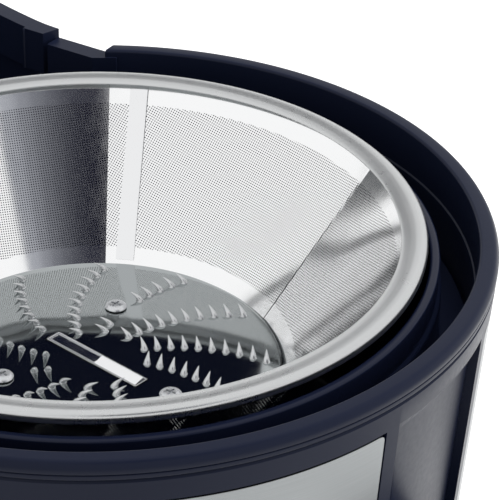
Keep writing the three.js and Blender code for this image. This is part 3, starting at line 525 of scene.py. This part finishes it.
carve(housing,
      block(-collar_r - 5, collar_r + 5, cut_y - 3 - GAP, collar_r + 5, floor_foot - GAP, rim_z),
      block(-spout_half - GAP, spout_half + GAP, -collar_r - 5, -bowl_r,
            spout_z - spout_height / 2 - GAP, spout_z + spout_height / 2 + GAP),
      rod(6 + GAP, (inlet[0] * 0.8, inlet[1] * 0.8, 30), (inlet[0] * 1.2, inlet[1] * 1.2, 30)),
      knob_space(bezel_r + GAP))
groove_z = panel_foot - 8
carve(housing, ring([(outer(groove_z) - 0.5, groove_z), (outer(groove_z) + 2, groove_z - 0.4),
                     (outer(groove_z) + 2, groove_z + 0.4)], 240))
dress(housing, "housing", ["motor_housing"], satin, 0.4)

# Cord inlet: a soft rubber gland pushed into a hole in the housing's back left. It would keep the cord from
# bending sharply where it comes out.
keep_cad("cord_inlet", rubber, 0.5)

# Side panels: brushed stainless sheet bent to the housing's taper and glued into its pockets. The brushing
# runs round the body.
brush = bpy.data.node_groups.new("brushing", "ShaderNodeTree")
brush.interface.new_socket("Roughness", in_out="OUTPUT", socket_type="NodeSocketFloat")
brush.interface.new_socket("Height", in_out="OUTPUT", socket_type="NodeSocketFloat")
brush.interface.new_socket("Colour", in_out="OUTPUT", socket_type="NodeSocketColor")
spot = brush.nodes.new("ShaderNodeTexCoord")
centre = brush.nodes.new("ShaderNodeMapping")
centre.inputs["Location"].default_value = (0, -axis_y, 0)
brush.links.new(spot.outputs["Object"], centre.inputs["Vector"])
apart = brush.nodes.new("ShaderNodeSeparateXYZ")
brush.links.new(centre.outputs[0], apart.inputs[0])
around = brush.nodes.new("ShaderNodeMath")
around.operation = "ARCTAN2"
brush.links.new(apart.outputs["Y"], around.inputs[0])
brush.links.new(apart.outputs["X"], around.inputs[1])
along = brush.nodes.new("ShaderNodeCombineXYZ")
brush.links.new(around.outputs[0], along.inputs["X"])
height = brush.nodes.new("ShaderNodeMath")
height.operation = "MULTIPLY"
height.inputs[1].default_value = 900
brush.links.new(apart.outputs["Z"], height.inputs[0])
brush.links.new(height.outputs[0], along.inputs["Y"])
lines = brush.nodes.new("ShaderNodeTexNoise")
lines.inputs["Scale"].default_value = 5
lines.inputs["Detail"].default_value = 4
brush.links.new(along.outputs[0], lines.inputs["Vector"])
rough = brush.nodes.new("ShaderNodeMapRange")
rough.inputs["To Min"].default_value = 0.26
rough.inputs["To Max"].default_value = 0.44
brush.links.new(lines.outputs[0], rough.inputs["Value"])
tint = brush.nodes.new("ShaderNodeMixRGB")
tint.inputs["Color1"].default_value = (0.2, 0.211, 0.214, 1)
tint.inputs["Color2"].default_value = (0.28, 0.292, 0.296, 1)
brush.links.new(lines.outputs[0], tint.inputs["Fac"])
brush_out = brush.nodes.new("NodeGroupOutput")
brush.links.new(rough.outputs[0], brush_out.inputs["Roughness"])
brush.links.new(lines.outputs[0], brush_out.inputs["Height"])
brush.links.new(tint.outputs[0], brush_out.inputs["Colour"])
brushed = bpy.data.materials.new("brushed_steel")
brushed.use_nodes = True
brushed_shader = brushed.node_tree.nodes["Principled BSDF"]
brushed_shader.inputs["Metallic"].default_value = 1
brushed_group = brushed.node_tree.nodes.new("ShaderNodeGroup")
brushed_group.node_tree = brush
brushed_bump = brushed.node_tree.nodes.new("ShaderNodeBump")
brushed_bump.inputs["Strength"].default_value = 0.15
brushed_bump.inputs["Distance"].default_value = 0.00002
brushed.node_tree.links.new(brushed_group.outputs["Colour"], brushed_shader.inputs["Base Color"])
brushed.node_tree.links.new(brushed_group.outputs["Roughness"], brushed_shader.inputs["Roughness"])
brushed.node_tree.links.new(brushed_group.outputs["Height"], brushed_bump.inputs["Height"])
brushed.node_tree.links.new(brushed_bump.outputs[0], brushed_shader.inputs["Normal"])


def plate_faces_of(columns, row):
    """The faces of a thin plate whose points are two grids, its face and then its back."""
    faces = []
    sheet = columns * row
    for i in range(columns - 1):
        for k in range(row - 1):
            a = i * row + k
            faces.append((a, a + row, a + row + 1, a + 1))
            faces.append((sheet + a, sheet + a + 1, sheet + a + row + 1, sheet + a + row))
        for k in (0, row - 1):
            a = i * row + k
            faces.append((a, a + row, sheet + a + row, sheet + a))
    for i in (0, columns - 1):
        for k in range(row - 1):
            a = i * row + k
            faces.append((a, a + 1, sheet + a + 1, sheet + a))
    return faces


def bent_sheet(start, end, z0, z1, depth, corner):
    """A sheet on the tapered wall, with rounded corners, as a fine grid."""
    across = 96
    rise = 40
    mid_r = outer((z0 + z1) / 2)
    wide = math.radians(end - start) * mid_r
    tall = z1 - z0

    def spot(u, v, out):
        x = min(u * wide, (1 - u) * wide)
        if x < corner:
            pull = corner - math.sqrt(max(0.0, corner ** 2 - (corner - x) ** 2))
        else:
            pull = 0
        z = z0 + pull + (tall - 2 * pull) * v
        angle = math.radians(start) + math.radians(end - start) * u
        r = outer(z) - out
        return r * math.cos(angle), r * math.sin(angle), z

    us = [0.0, 0.002, 0.006, 0.012, 0.02] + [0.03 + 0.94 * i / across for i in range(across + 1)]
    us += [1 - u for u in (0.02, 0.012, 0.006, 0.002, 0.0)]
    verts = [spot(u, v / rise, out) for out in (0.0, depth) for u in us for v in range(rise + 1)]
    return verts, plate_faces_of(len(us), rise + 1)


for side, (start, end) in zip(("right", "left"), panel_spans):
    sheet = raw(f"side_sheet_{side}", bent_sheet(start, end, panel_foot, panel_top, 0.8, 1.5))
    if side == "right":
        carve(sheet, knob_space(bezel_r + GAP))
    dress(sheet, "housing", [f"steel_panel_{side}"], brushed, 0.15)

# Top collar: the moulded ring that closes the housing. It is the lid's seat, carries the bowl's flange on an
# inner shelf, and opens at the back into the chute to the pulp bin.
skirt_out = WALL + GAP
chute_half = 79.6
chute_outer = 85.3
wall_end = 71.75
collar_top = rim_z - 0.3
collar_foot = 245.0
collar_inner = 97.8
chute_floor_r = 111.4
step_z = rim_z - 12.6
collar = raw("collar_ring", ring(
    soft([(outer(collar_foot), collar_foot, 0.3), (outer(246.2), 246.2, 0.1),
          (outer(246.4) - 0.35, 246.4, 0.1), (outer(246.6), 246.6, 0.1),
          (collar_r - 0.1, collar_top - 1.9, 0.8), (collar_r - 1.1, collar_top, 0.8),
          (collar_inner + 0.5, collar_top, 0.3), (collar_inner, collar_top - 0.5, 0.3),
          (collar_inner, step_z + 0.3, 0.2), (skirt_r, step_z, 0.2), (skirt_r, shelf_z, 0.2),
          (skirt_r - 5, shelf_z, 0.3), (skirt_r - 5, floor_foot, 0.3),
          (outer(floor_foot) - skirt_out, floor_foot, 0.3),
          (outer(collar_foot) - skirt_out, collar_foot, 0.2)], 0.3), 240))
half = channel_half + 1.6 + 0.25
carve(collar, wedge(-90 - half, -90 + half, collar_r + 5, floor_foot - 1, channel_band + 2.5),
      block(-collar_r - 5, collar_r + 5, cut_y, collar_r + 5, shelf_z, rim_z + 1))
chute = raw("chute_floor", prism([polar(chute_floor_r, 1.5 * i) for i in range(240)], floor_foot, shelf_z))
carve(chute, block(-chute_outer, chute_outer, cut_y - 3, 130, floor_foot - 1, shelf_z + 1),
      operation="INTERSECT")
for side in (-1, 1):
    x0, x1 = sorted((side * chute_half, side * chute_outer))
    carve(chute, block(x0, x1, cut_y - 3, wall_end, floor_foot, rim_z - 2.4), operation="UNION")
carve(chute, prism([polar(skirt_r, 1.5 * i) for i in range(240)], shelf_z, rim_z + 1),
      prism([polar(skirt_r - 5, 1.5 * i) for i in range(240)], floor_foot - 1, shelf_z + 1),
      block(chute_half, 120, wall_end, 130, floor_foot - 1, shelf_z + 1),
      block(-120, -chute_half, wall_end, 130, floor_foot - 1, shelf_z + 1))
carve(collar, chute, operation="UNION")
dress(collar, "housing", ["top_collar"], satin, 0.3)

# Juice bowl: a gloss-black moulding that lifts out. Its flange rests on the collar's shelf, its lip stands
# just outside the basket's rim, and a port in front leads to the spout.
gloss = finish("gloss_black", (0.005, 0.007, 0.018), pebble, 0.16, 0.24, bump=0.04, depth=0.02, gleam=0.15)
lip_in = rim_r + 0.5
lip_out = lip_in + 2.7
flange_r = 96.6
flange_z = 223.0
foot_z = rim_z - 88
bowl = raw("bowl_shell", ring(
    soft([(24, foot_z, 0.5), (bowl_r - 3, foot_z, 2), (bowl_r - 0.6, flange_z - 1.7, 0.4),
          (flange_r, flange_z - 1.7, 0.4), (flange_r, flange_z, 0.4), (bowl_r, flange_z, 0.8),
          (bowl_r, rim_z - 13.4, 0.6), (lip_out - 0.3, rim_z - 12.6, 0.4), (lip_out, rim_z - 5.4, 0.6),
          (lip_out - 0.7, rim_z - 5, 0.5), (lip_in + 0.5, rim_z - 5, 0.5), (lip_in, rim_z - 5.5, 0.4),
          (lip_in + 0.2, rim_z - 8, 1), (bowl_r - 2, flange_z, 2), (bowl_r - 5, foot_z + 2, 3),
          (26, foot_z + 2, 2), (26, rim_z - 49, 0.5), (24, rim_z - 49, 0.5)], 0.5), 240))
carve(bowl, block(-12, 12, -bowl_r - 5, -bowl_r + 9, spout_z - 9, spout_z + 9))
dress(bowl, "bowl", ["juice_bowl"], gloss, 0)

# Spout: a square duct through the channel's back wall, and a tip hinged on two bosses that flips up against
# drips.
keep_cad("spout_duct", satin, 0.8)
keep_cad("spout_tip", satin, 0.7)

# Filter cone: stainless foil with an etched grid of fine holes, rolled into a cone. The foil overlaps itself
# at the seam and is creased where it was bent for welding. Its outer side is painted dark grey as painted
# shade, standing in for the dark bowl it would mirror in the gap, and its holes are drawn smaller there.
slope = 0.7757
cone_top_r = rim_r - 5.5
slope_start = rim_z - 4.2
cone_top = rim_z - 1.5
cone_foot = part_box("filter_cone")[0].z / MM
seam = 31.6
crease = -32.0
mesh_top = rim_z - 6.9
mesh_foot = rim_z - 39.2
half_cone = math.atan(slope)


def cone_r(z):
    return cone_top_r - (slope_start - z) * slope


def foil_offset(angle):
    """How far the foil stands out from the true cone at an angle, for the seam's overlap and the crease."""
    past = (angle - seam) % 360
    lap = 0.5 * max(0.0, 1 - past / 16) ** 2
    behind = (crease - angle) % 360
    fold = 0.35 * max(0.0, 1 - behind / 9) ** 2
    return lap + fold


angles = [seam + 0.001] + [seam + 0.4 + 1.2 * i for i in range(300) if 0.4 + 1.2 * i < 359.5]
angles.append(seam + 359.95)
crease_at = crease + 360
angles = [a for a in angles if abs(a - crease_at) > 0.5] + [crease_at - 0.06, crease_at + 0.06]
angles.sort()
levels = [cone_top, rim_z - 4.3, mesh_top + 0.1]
levels += [mesh_top - (mesh_top - mesh_foot) * i / 16 for i in range(17)]
levels += [mesh_foot - 0.1, (mesh_foot + cone_foot) / 2, cone_foot]
foil = bmesh.new()
flat = foil.loops.layers.uv.new("flat_foil")
grid = []
for depth in (0.0, 0.28):
    sheet = []
    for angle in angles:
        column = []
        for z in levels:
            r = cone_r(z) + foil_offset(angle) + depth
            x, y = polar(r, angle)
            column.append(foil.verts.new((x * MM, y * MM + axis_y, z * MM)))
        sheet.append(column)
    grid.append(sheet)


def flat_place(i, k):
    """Where a point of the rolled foil lay on the flat sheet, in millimetres."""
    from_apex = cone_r(levels[k]) / math.sin(half_cone)
    turn = math.radians(angles[i] - seam) * math.sin(half_cone) + 1.38
    return from_apex * math.cos(turn), from_apex * math.sin(turn)


for side, sheet in enumerate(grid):
    for i in range(len(angles) - 1):
        for k in range(len(levels) - 1):
            corners = [(i, k), (i + 1, k), (i + 1, k + 1), (i, k + 1)]
            if side:
                corners.reverse()
            face = foil.faces.new([sheet[a][b] for a, b in corners])
            face.smooth = True
            for loop, (a, b) in zip(face.loops, corners):
                loop[flat].uv = flat_place(a, b)
for k in (0, len(levels) - 1):
    for i in range(len(angles) - 1):
        foil.faces.new([grid[0][i][k], grid[1][i][k], grid[1][i + 1][k], grid[0][i + 1][k]])
for i in (0, len(angles) - 1):
    for k in range(len(levels) - 1):
        foil.faces.new([grid[0][i][k], grid[0][i][k + 1], grid[1][i][k + 1], grid[1][i][k]])
bmesh.ops.recalc_face_normals(foil, faces=foil.faces)
cone_mesh = bpy.data.meshes.new("filter_foil")
foil.to_mesh(cone_mesh)
foil.free()
inside_faces = (len(angles) - 1) * (len(levels) - 1)
cone = bpy.data.objects.new("filter_foil", cone_mesh)
bpy.context.scene.collection.objects.link(cone)

holes = bpy.data.node_groups.new("perforation", "ShaderNodeTree")
for label, usual in (("Pitch", 0.8), ("Radius", 0.3), ("Top", mesh_top * MM), ("Foot", mesh_foot * MM)):
    socket = holes.interface.new_socket(label, in_out="INPUT", socket_type="NodeSocketFloat")
    socket.default_value = usual
holes.interface.new_socket("Metal", in_out="OUTPUT", socket_type="NodeSocketFloat")
holes.interface.new_socket("Dimple", in_out="OUTPUT", socket_type="NodeSocketFloat")
holes_in = holes.nodes.new("NodeGroupInput")
holes_out = holes.nodes.new("NodeGroupOutput")


def step_of(tree, operation, *inputs):
    node = tree.nodes.new("ShaderNodeMath")
    node.operation = operation
    for i, value in enumerate(inputs):
        if isinstance(value, (int, float)):
            node.inputs[i].default_value = value
        else:
            tree.links.new(value, node.inputs[i])
    return node.outputs[0]


sheet_place = holes.nodes.new("ShaderNodeUVMap")
sheet_place.uv_map = "flat_foil"
sheet_split = holes.nodes.new("ShaderNodeSeparateXYZ")
holes.links.new(sheet_place.outputs[0], sheet_split.inputs[0])
along_x = step_of(holes, "DIVIDE", sheet_split.outputs["X"], holes_in.outputs["Pitch"])
along_y = step_of(holes, "DIVIDE", sheet_split.outputs["Y"], holes_in.outputs["Pitch"])
off_x = step_of(holes, "SUBTRACT", step_of(holes, "FRACT", along_x), 0.5)
off_y = step_of(holes, "SUBTRACT", step_of(holes, "FRACT", along_y), 0.5)
squared = step_of(holes, "ADD", step_of(holes, "MULTIPLY", off_x, off_x),
                  step_of(holes, "MULTIPLY", off_y, off_y))
away = step_of(holes, "MULTIPLY", step_of(holes, "SQRT", squared), holes_in.outputs["Pitch"])
solid = step_of(holes, "GREATER_THAN", away, holes_in.outputs["Radius"])
foil_place = holes.nodes.new("ShaderNodeTexCoord")
foil_split = holes.nodes.new("ShaderNodeSeparateXYZ")
holes.links.new(foil_place.outputs["Object"], foil_split.inputs[0])
above = step_of(holes, "GREATER_THAN", foil_split.outputs["Z"], holes_in.outputs["Top"])
below = step_of(holes, "LESS_THAN", foil_split.outputs["Z"], holes_in.outputs["Foot"])
plain = step_of(holes, "MAXIMUM", above, below)
holes.links.new(step_of(holes, "MAXIMUM", solid, plain), holes_out.inputs["Metal"])
dish = holes.nodes.new("ShaderNodeMapRange")
dish.inputs["From Min"].default_value = 0.17
dish.inputs["From Max"].default_value = 0.34
holes.links.new(away, dish.inputs["Value"])
holes.links.new(step_of(holes, "MAXIMUM", dish.outputs[0], plain), holes_out.inputs["Dimple"])
streaks = texture_group("streaks", (1, 1, 0.06), 420, 3)
etched = finish("etched_foil", (0.92, 0.925, 0.93), streaks, 0.09, 0.15, metal=1, bump=0.03)
etched_group = etched.node_tree.nodes.new("ShaderNodeGroup")
etched_group.node_tree = holes
etched_group.inputs["Pitch"].default_value = 0.68
etched_group.inputs["Radius"].default_value = 0.185
etched_group.inputs["Top"].default_value = mesh_top * MM
etched_group.inputs["Foot"].default_value = mesh_foot * MM
etched_shader = etched.node_tree.nodes["Principled BSDF"]
etched.node_tree.links.new(etched_group.outputs["Metal"], etched_shader.inputs["Alpha"])
dress(cone, "basket", ["filter_cone"], etched, 0, 30)
# Painted shade: the foil's outer side gets a dark grey base colour for the shadowed gap between foil and
# bowl, with smaller holes so less light shows through.
shaded_foil = etched.copy()
shaded_foil.name = "painted_shade_foil"
shaded_foil.node_tree.nodes["Principled BSDF"].inputs["Base Color"].default_value = (0.1, 0.105, 0.12, 1)
shaded_foil_holes = next(node for node in shaded_foil.node_tree.nodes if "Radius" in node.inputs)
shaded_foil_holes.inputs["Radius"].default_value = 0.11
cone.data.materials.append(shaded_foil)
for face in cone.data.polygons[inside_faces:]:
    face.material_index = 1

# Seam strip: a plain stainless strip that runs down the cone beside the foil's overlap. Two rows of spot
# welds fix it to the foil, and each weld leaves a shallow dimple.
polish = texture_group("polish", (1, 1, 0.2), 260, 4)
mirror = finish("polished_steel", (0.83, 0.835, 0.845), polish, 0.05, 0.12, metal=1, bump=0.04, depth=0.01)
strip_angle = 25.4
strip_top = rim_z - 2.2
strip_foot = rim_z - 42.0
strip_verts = []
strip_rows = 170
strip_columns = 26
welds = [(side * 1.1, rim_z - 8 - 3.6 * k) for k in range(9) for side in (-1, 1)]
for inward in (0.0, 0.1):
    for j in range(strip_rows + 1):
        z = strip_foot + (strip_top - strip_foot) * j / strip_rows
        for i in range(strip_columns + 1):
            side = i / strip_columns * 2 - 1
            edge = inward * (1 - side ** 6)
            for across, height in welds if inward else ():
                away = math.hypot(side * 2.6 - across, (z - height) * 1.27)
                edge -= 0.05 * max(0.0, 1 - (away / 0.42) ** 2)
            r = cone_r(z) - 0.05 - edge
            x, y = polar(r, strip_angle + math.degrees(side * 2.6 / cone_r(z)))
            strip_verts.append((x, y, z))
strip_faces = plate_faces_of(strip_rows + 1, strip_columns + 1)
dress(raw("weld_strip", (strip_verts, strip_faces)), "basket", ["seam_strip"], mirror, 0)

# Basket pan and rim: the pan is pressed steel under the disc. The rim is rolled over the foil's top edge and
# polished, with a broad flat top whose inner edge hides the foil's own edge.
keep_cad("basket_base", mirror, 0.2)
rim_profile = [(78, 249), (78.3, 248.6), (82.6, 248.6), (82.8, 246.9), (84.1, 246.6), (84.8, 247.2),
               (85, 248.4), (84.8, 249.2), (84.2, 249.75), (83.2, 250), (81.8, 249.95), (80.2, 249.75),
               (78.8, 249.4)]
drawn_r, drawn_z = 85, 250
rim_profile = [(r - drawn_r + rim_r, z - drawn_z + rim_z) for r, z in rim_profile]
rolled = finish("rolled_steel", (0.6, 0.61, 0.615), streaks, 0.26, 0.32, metal=1, bump=0.01, depth=0.01)
dress(raw("rolled_rim", ring(soft(rim_profile, 0.4, 3), 320)), "basket", ["basket_rim"],
      rolled, 0, 60)

# Grating disc: mirror-bright stainless, held by three screws. Twelve curved rows of teeth are punched up from
# it, all leaning the way the disc turns, with a rounded root where the metal was drawn.
disc_z = rim_z - 42.4
disc_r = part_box("grating_disc")[1].x / MM
screw_angles = (22.6, 142.6, 262.6)
screw_spots = [polar(25.7, angle) for angle in screw_angles]
bar_angle = 80
bar_half = (16.4, 2.4)


def near_bar(x, y):
    u = x * math.cos(math.radians(bar_angle)) + y * math.sin(math.radians(bar_angle))
    v = -x * math.sin(math.radians(bar_angle)) + y * math.cos(math.radians(bar_angle))
    return abs(u) < bar_half[0] + 1.6 and abs(v) < bar_half[1] + 1.6


def tooth(x, y, angle, verts, faces):
    """One punched tooth: a drawn root on the disc that runs out into a spike."""
    lift = math.radians(33)
    # distance along the disc, height, half width, half depth of each section
    sections = [(0.15, 0.0, 1.05, 1.1), (0.2, 0.12, 0.95, 1.0), (0.32, 0.38, 0.88, 0.88),
                (0.6, 0.74, 0.78, 0.7), (1.0, 1.1, 0.62, 0.5), (1.6, 1.5, 0.44, 0.32),
                (2.3, 1.86, 0.26, 0.19), (3.0, 2.15, 0.06, 0.05)]
    steps = 12
    first = len(verts)
    along = Vector((-math.sin(math.radians(angle)), math.cos(math.radians(angle)), 0))
    across = Vector((math.cos(math.radians(angle)), math.sin(math.radians(angle)), 0))
    for j, (run, rise, wide, deep) in enumerate(sections):
        blend = min(1.0, j / 4)
        tilt = (math.pi / 2 - lift) * blend
        normal = along * math.cos(tilt) - up * math.sin(tilt)
        for i in range(steps):
            a = 2 * math.pi * i / steps
            point = Vector((x, y, disc_z + rise)) + along * run + across * wide * math.cos(a)
            point += normal * deep * math.sin(a)
            point.z = max(point.z, disc_z - 0.05)
            verts.append(tuple(point))
    for j in range(len(sections) - 1):
        for i in range(steps):
            a = first + j * steps + i
            b = first + j * steps + (i + 1) % steps
            faces.append((a, b, b + steps, a + steps))
    for end in (0, len(sections) - 1):
        faces.append(tuple(first + end * steps + i for i in range(steps)))


disc_outline = soft([(0, disc_z - 1), (disc_r, disc_z - 1, 0.1), (disc_r, disc_z - 0.3, 0.3),
                     (disc_r - 0.5, disc_z, 0.3), (0, disc_z)], 0.2)
disc_outline = [(0, disc_z - 1)] + [p for p in disc_outline if p[0] > 1] + [(0, disc_z)]
disc = raw("disc_plate", turned(disc_outline, 240))
slot_turn = Matrix.Rotation(math.radians(bar_angle), 4, "Z")
slot_verts, slot_faces = block(-16.7, 16.7, -2.7, 2.7, disc_z - 3, disc_z + 3)
carve(disc, ([tuple(slot_turn @ Vector(v)) for v in slot_verts], slot_faces),
      *[rod(2, (*spot, disc_z - 3), (*spot, disc_z + 1)) for spot in screw_spots])
tooth_verts, tooth_faces = [], []
tooth_rows, tooth_gaps = 12, 8
tooth_in, tooth_out = 17, disc_r - 4
row_sweep = 20
screw_clear = 6.0
for row in range(tooth_rows):
    for i in range(-1, tooth_gaps + 1):
        angle = 360 / tooth_rows * row + row_sweep * (tooth_gaps - i) / tooth_gaps + 1.5
        x, y = polar(tooth_in + (tooth_out - tooth_in) / tooth_gaps * i, angle)
        clear = all(math.hypot(x - sx, y - sy) > screw_clear for sx, sy in screw_spots)
        if clear and not near_bar(x, y):
            tooth(x, y, angle, tooth_verts, tooth_faces)
teeth = raw("teeth", (tooth_verts, tooth_faces))
plate_faces = len(disc.data.polygons)
whole = bmesh.new()
whole.from_mesh(disc.data)
whole.from_mesh(teeth.data)
whole.to_mesh(disc.data)
whole.free()
bpy.data.objects.remove(teeth)
disc_steel = finish("disc_mirror", (0.4, 0.425, 0.43), polish, 0.03, 0.07, metal=1, bump=0.03, depth=0.01)
tooth_steel = finish("tooth_steel", (0.6, 0.61, 0.62), polish, 0.2, 0.3, metal=1, bump=0.05, depth=0.01)
dress(disc, "basket", ["grating_disc"], disc_steel, 0, 40)
disc.data.materials.append(tooth_steel)
for face in disc.data.polygons[plate_faces:]:
    face.material_index = 1

# Centre bar: a stainless bar let into a slot in the disc's middle, with a thin frame round it. Half of its
# top is level, and the other half slopes to one side.
frame_verts, frame_faces = prism(soft([(-16.4, -2.4), (16.4, -2.4), (16.4, 2.4), (-16.4, 2.4)], 0.5),
                                 disc_z - 0.95, disc_z + 0.35)
bar = raw("bar_plate", (frame_verts, frame_faces))
carve(bar, block(-15.9, 15.9, -1.95, 1.95, disc_z - 0.6, disc_z + 2))
level = [(-0.6, disc_z - 0.8), (15.5, disc_z - 0.8), (15.5, disc_z + 0.05), (-0.6, disc_z + 0.05)]
core_verts = [(u, v, z) for v in (-1.55, 1.55) for u, z in level]
core_faces = [(0, 1, 2, 3), (7, 6, 5, 4), (0, 4, 5, 1), (1, 5, 6, 2), (2, 6, 7, 3), (3, 7, 4, 0)]
slope_section = [(-1.55, disc_z - 0.8), (1.55, disc_z - 0.8), (1.55, disc_z - 0.1), (-1.55, disc_z + 0.75)]
pad_verts = [(u, v, z) for u in (-15.5, -0.6) for v, z in slope_section]
whole = bmesh.new()
whole.from_mesh(bar.data)
for verts, faces in ((core_verts, core_faces), (pad_verts, core_faces)):
    piece = raw("bar_core", (verts, faces))
    whole.from_mesh(piece.data)
    bpy.data.objects.remove(piece)
bmesh.ops.translate(whole, verts=whole.verts, vec=(0, -axis_y, 0))
bmesh.ops.transform(whole, matrix=slot_turn, verts=whole.verts)
bmesh.ops.translate(whole, verts=whole.verts, vec=(0, axis_y, 0))
whole.to_mesh(bar.data)
whole.free()
dress(bar, "basket", ["centre_bar"], mirror, 0.12)

# Disc screws: three pan-head stainless screws with a cross recess, in holes through the disc. They hold it
# down on the basket's pan.
for number, (sx, sy) in enumerate(screw_spots, 1):
    head = [(0, disc_z - 1), (1.7, disc_z - 1), (1.7, disc_z + 0.3), (2.95, disc_z + 0.3), (3, disc_z + 0.55),
            (2.7, disc_z + 0.95), (2.1, disc_z + 1.18), (1.2, disc_z + 1.28), (0, disc_z + 1.3)]
    screw = raw(f"pan_screw_{number}", turned(head, 40, (sx, sy)))
    carve(screw, block(sx - 1.5, sx + 1.5, sy - 0.28, sy + 0.28, disc_z + 0.7, disc_z + 3),
          block(sx - 0.28, sx + 0.28, sy - 1.5, sy + 1.5, disc_z + 0.7, disc_z + 3))
    dress(screw, "basket", [f"disc_screw_{number}"], plated, 0)

# Latches: on each side a moulded bracket on the housing, a steel pin through it, and an arm on the pin whose
# hook catches the lid.
for side in ("right", "left"):
    keep_cad(f"latch_bracket_{side}", satin, 0.6)
    keep_cad(f"latch_pin_{side}", plated, 0.3)
    keep_cad(f"latch_arm_{side}", satin, 0.6)

# Speed knob: a satin plastic knob with a raised grip. It turns in a bezel that is let into the housing
# through the right panel.
keep_cad("knob_bezel", satin, 0.4)
keep_cad("speed_knob", satin, 0.7)

# Pulp bin: a tall moulded bin, hollowed in front to fit round the housing, with a thick lip round its sides
# and back. It slides out backwards along the base plate's tongue.
bin_t = 2.5
bin_lip = 5.5
bin_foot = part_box("pulp_bin")[0].z / MM
bin_top = rim_z
lip_z = rim_z - 13
bin_front_r = 107.9
bin_start = math.sqrt(bin_front_r ** 2 - chute_half ** 2) - 0.8
bin_back = 184.0
bin_inner = chute_half + 1
front_steps = 48


def smooth_through(points, steps):
    """A smooth open line through the points."""
    line = []
    for i in range(len(points) - 1):
        p0 = Vector(points[max(0, i - 1)])
        p1, p2 = Vector(points[i]), Vector(points[i + 1])
        p3 = Vector(points[min(len(points) - 1, i + 2)])
        for k in range(steps):
            t = k / steps
            point = p1 * 2 + (p2 - p0) * t + (p0 * 2 - p1 * 5 + p2 * 4 - p3) * t ** 2
            point += (p1 * 3 - p0 - p2 * 3 + p3) * t ** 3
            line.append(tuple(point / 2))
    line.append(tuple(points[-1]))
    return line


def bin_sides():
    start = chute_outer + 0.8
    wide = start + 14
    run = bin_back - bin_start
    side = [(start, bin_start), (start + 0.8, bin_start + 8), (start + 4.5, bin_start + 24),
            (start + 9.4, bin_start + 40), (wide - 0.9, bin_start + run * 0.52),
            (wide, bin_start + run * 0.68), (wide - 2.5, bin_back - 20), (wide - 9, bin_back - 8),
            (wide - 20, bin_back - 2), (wide - 36, bin_back)]
    side = smooth_through(side, 4)
    return side + [(-x, y) for x, y in reversed(side)]


def bin_front():
    angle = math.degrees(math.atan2(bin_start, bin_inner))
    reach = math.hypot(bin_inner, bin_start)
    return [polar(reach, 180 - angle - (180 - 2 * angle) * i / front_steps) for i in range(front_steps + 1)]


def inset(points, distance):
    result = []
    count = len(points)
    for i, point in enumerate(points):
        here = Vector(point)
        before = (here - Vector(points[i - 1])).normalized()
        after = (Vector(points[(i + 1) % count]) - here).normalized()
        normal = Vector((-before.y - after.y, before.x + after.x)).normalized()
        stretch = 1 / max(0.4, normal.dot(Vector((-after.y, after.x))))
        result.append(tuple(here + normal * distance * stretch))
    return result


def bin_room(wall, hollow=True):
    """The bin's inside: its sides drawn in by the wall, and a hollow front moved back by it."""
    sides = inset(bin_sides(), wall)
    right = [point for point in sides[:len(sides) // 2] if point[1] > bin_start + 6]
    if not hollow:
        return right + [(-x, y) for x, y in reversed(right)]
    reach = math.hypot(bin_inner, bin_start) + wall
    angle = math.degrees(math.acos(bin_inner / reach))
    arc = [polar(reach, 180 - angle - (180 - 2 * angle) * i / front_steps) for i in range(front_steps + 1)]
    return right + [(-x, y) for x, y in reversed(right)] + arc


bin_outline = bin_sides() + bin_front()[1:-1]
bin_shell = raw("bin_shell", prism(bin_outline, bin_foot, bin_top))
carve(bin_shell, prism(bin_room(bin_t), bin_foot + bin_t, lip_z),
      prism(bin_room(bin_lip, False), lip_z - 0.5, bin_top + 1))
front_top = floor_foot - 2
front_room_r = 113.9
front_room = raw("front_room", prism([polar(front_room_r, 1.5 * i) for i in range(240)],
                                     front_top, rim_z + 1))
carve(front_room, block(-bin_inner, bin_inner, 0, 120, front_top, rim_z + 1), operation="INTERSECT")
carve(bin_shell, front_room)
grip = raw("grip", prism([(x, y + 180) for x, y in soft([(-32, -10), (32, -10), (32, 10), (-32, 10)], 6, 5)],
                         rim_z - 30, rim_z - 24))
carve(grip, block(-40, 40, bin_back - bin_t / 2, 191, rim_z - 40, rim_z - 10), operation="INTERSECT")
carve(bin_shell, grip, operation="UNION")
dress(bin_shell, "bin", ["pulp_bin"], satin, 0.5)
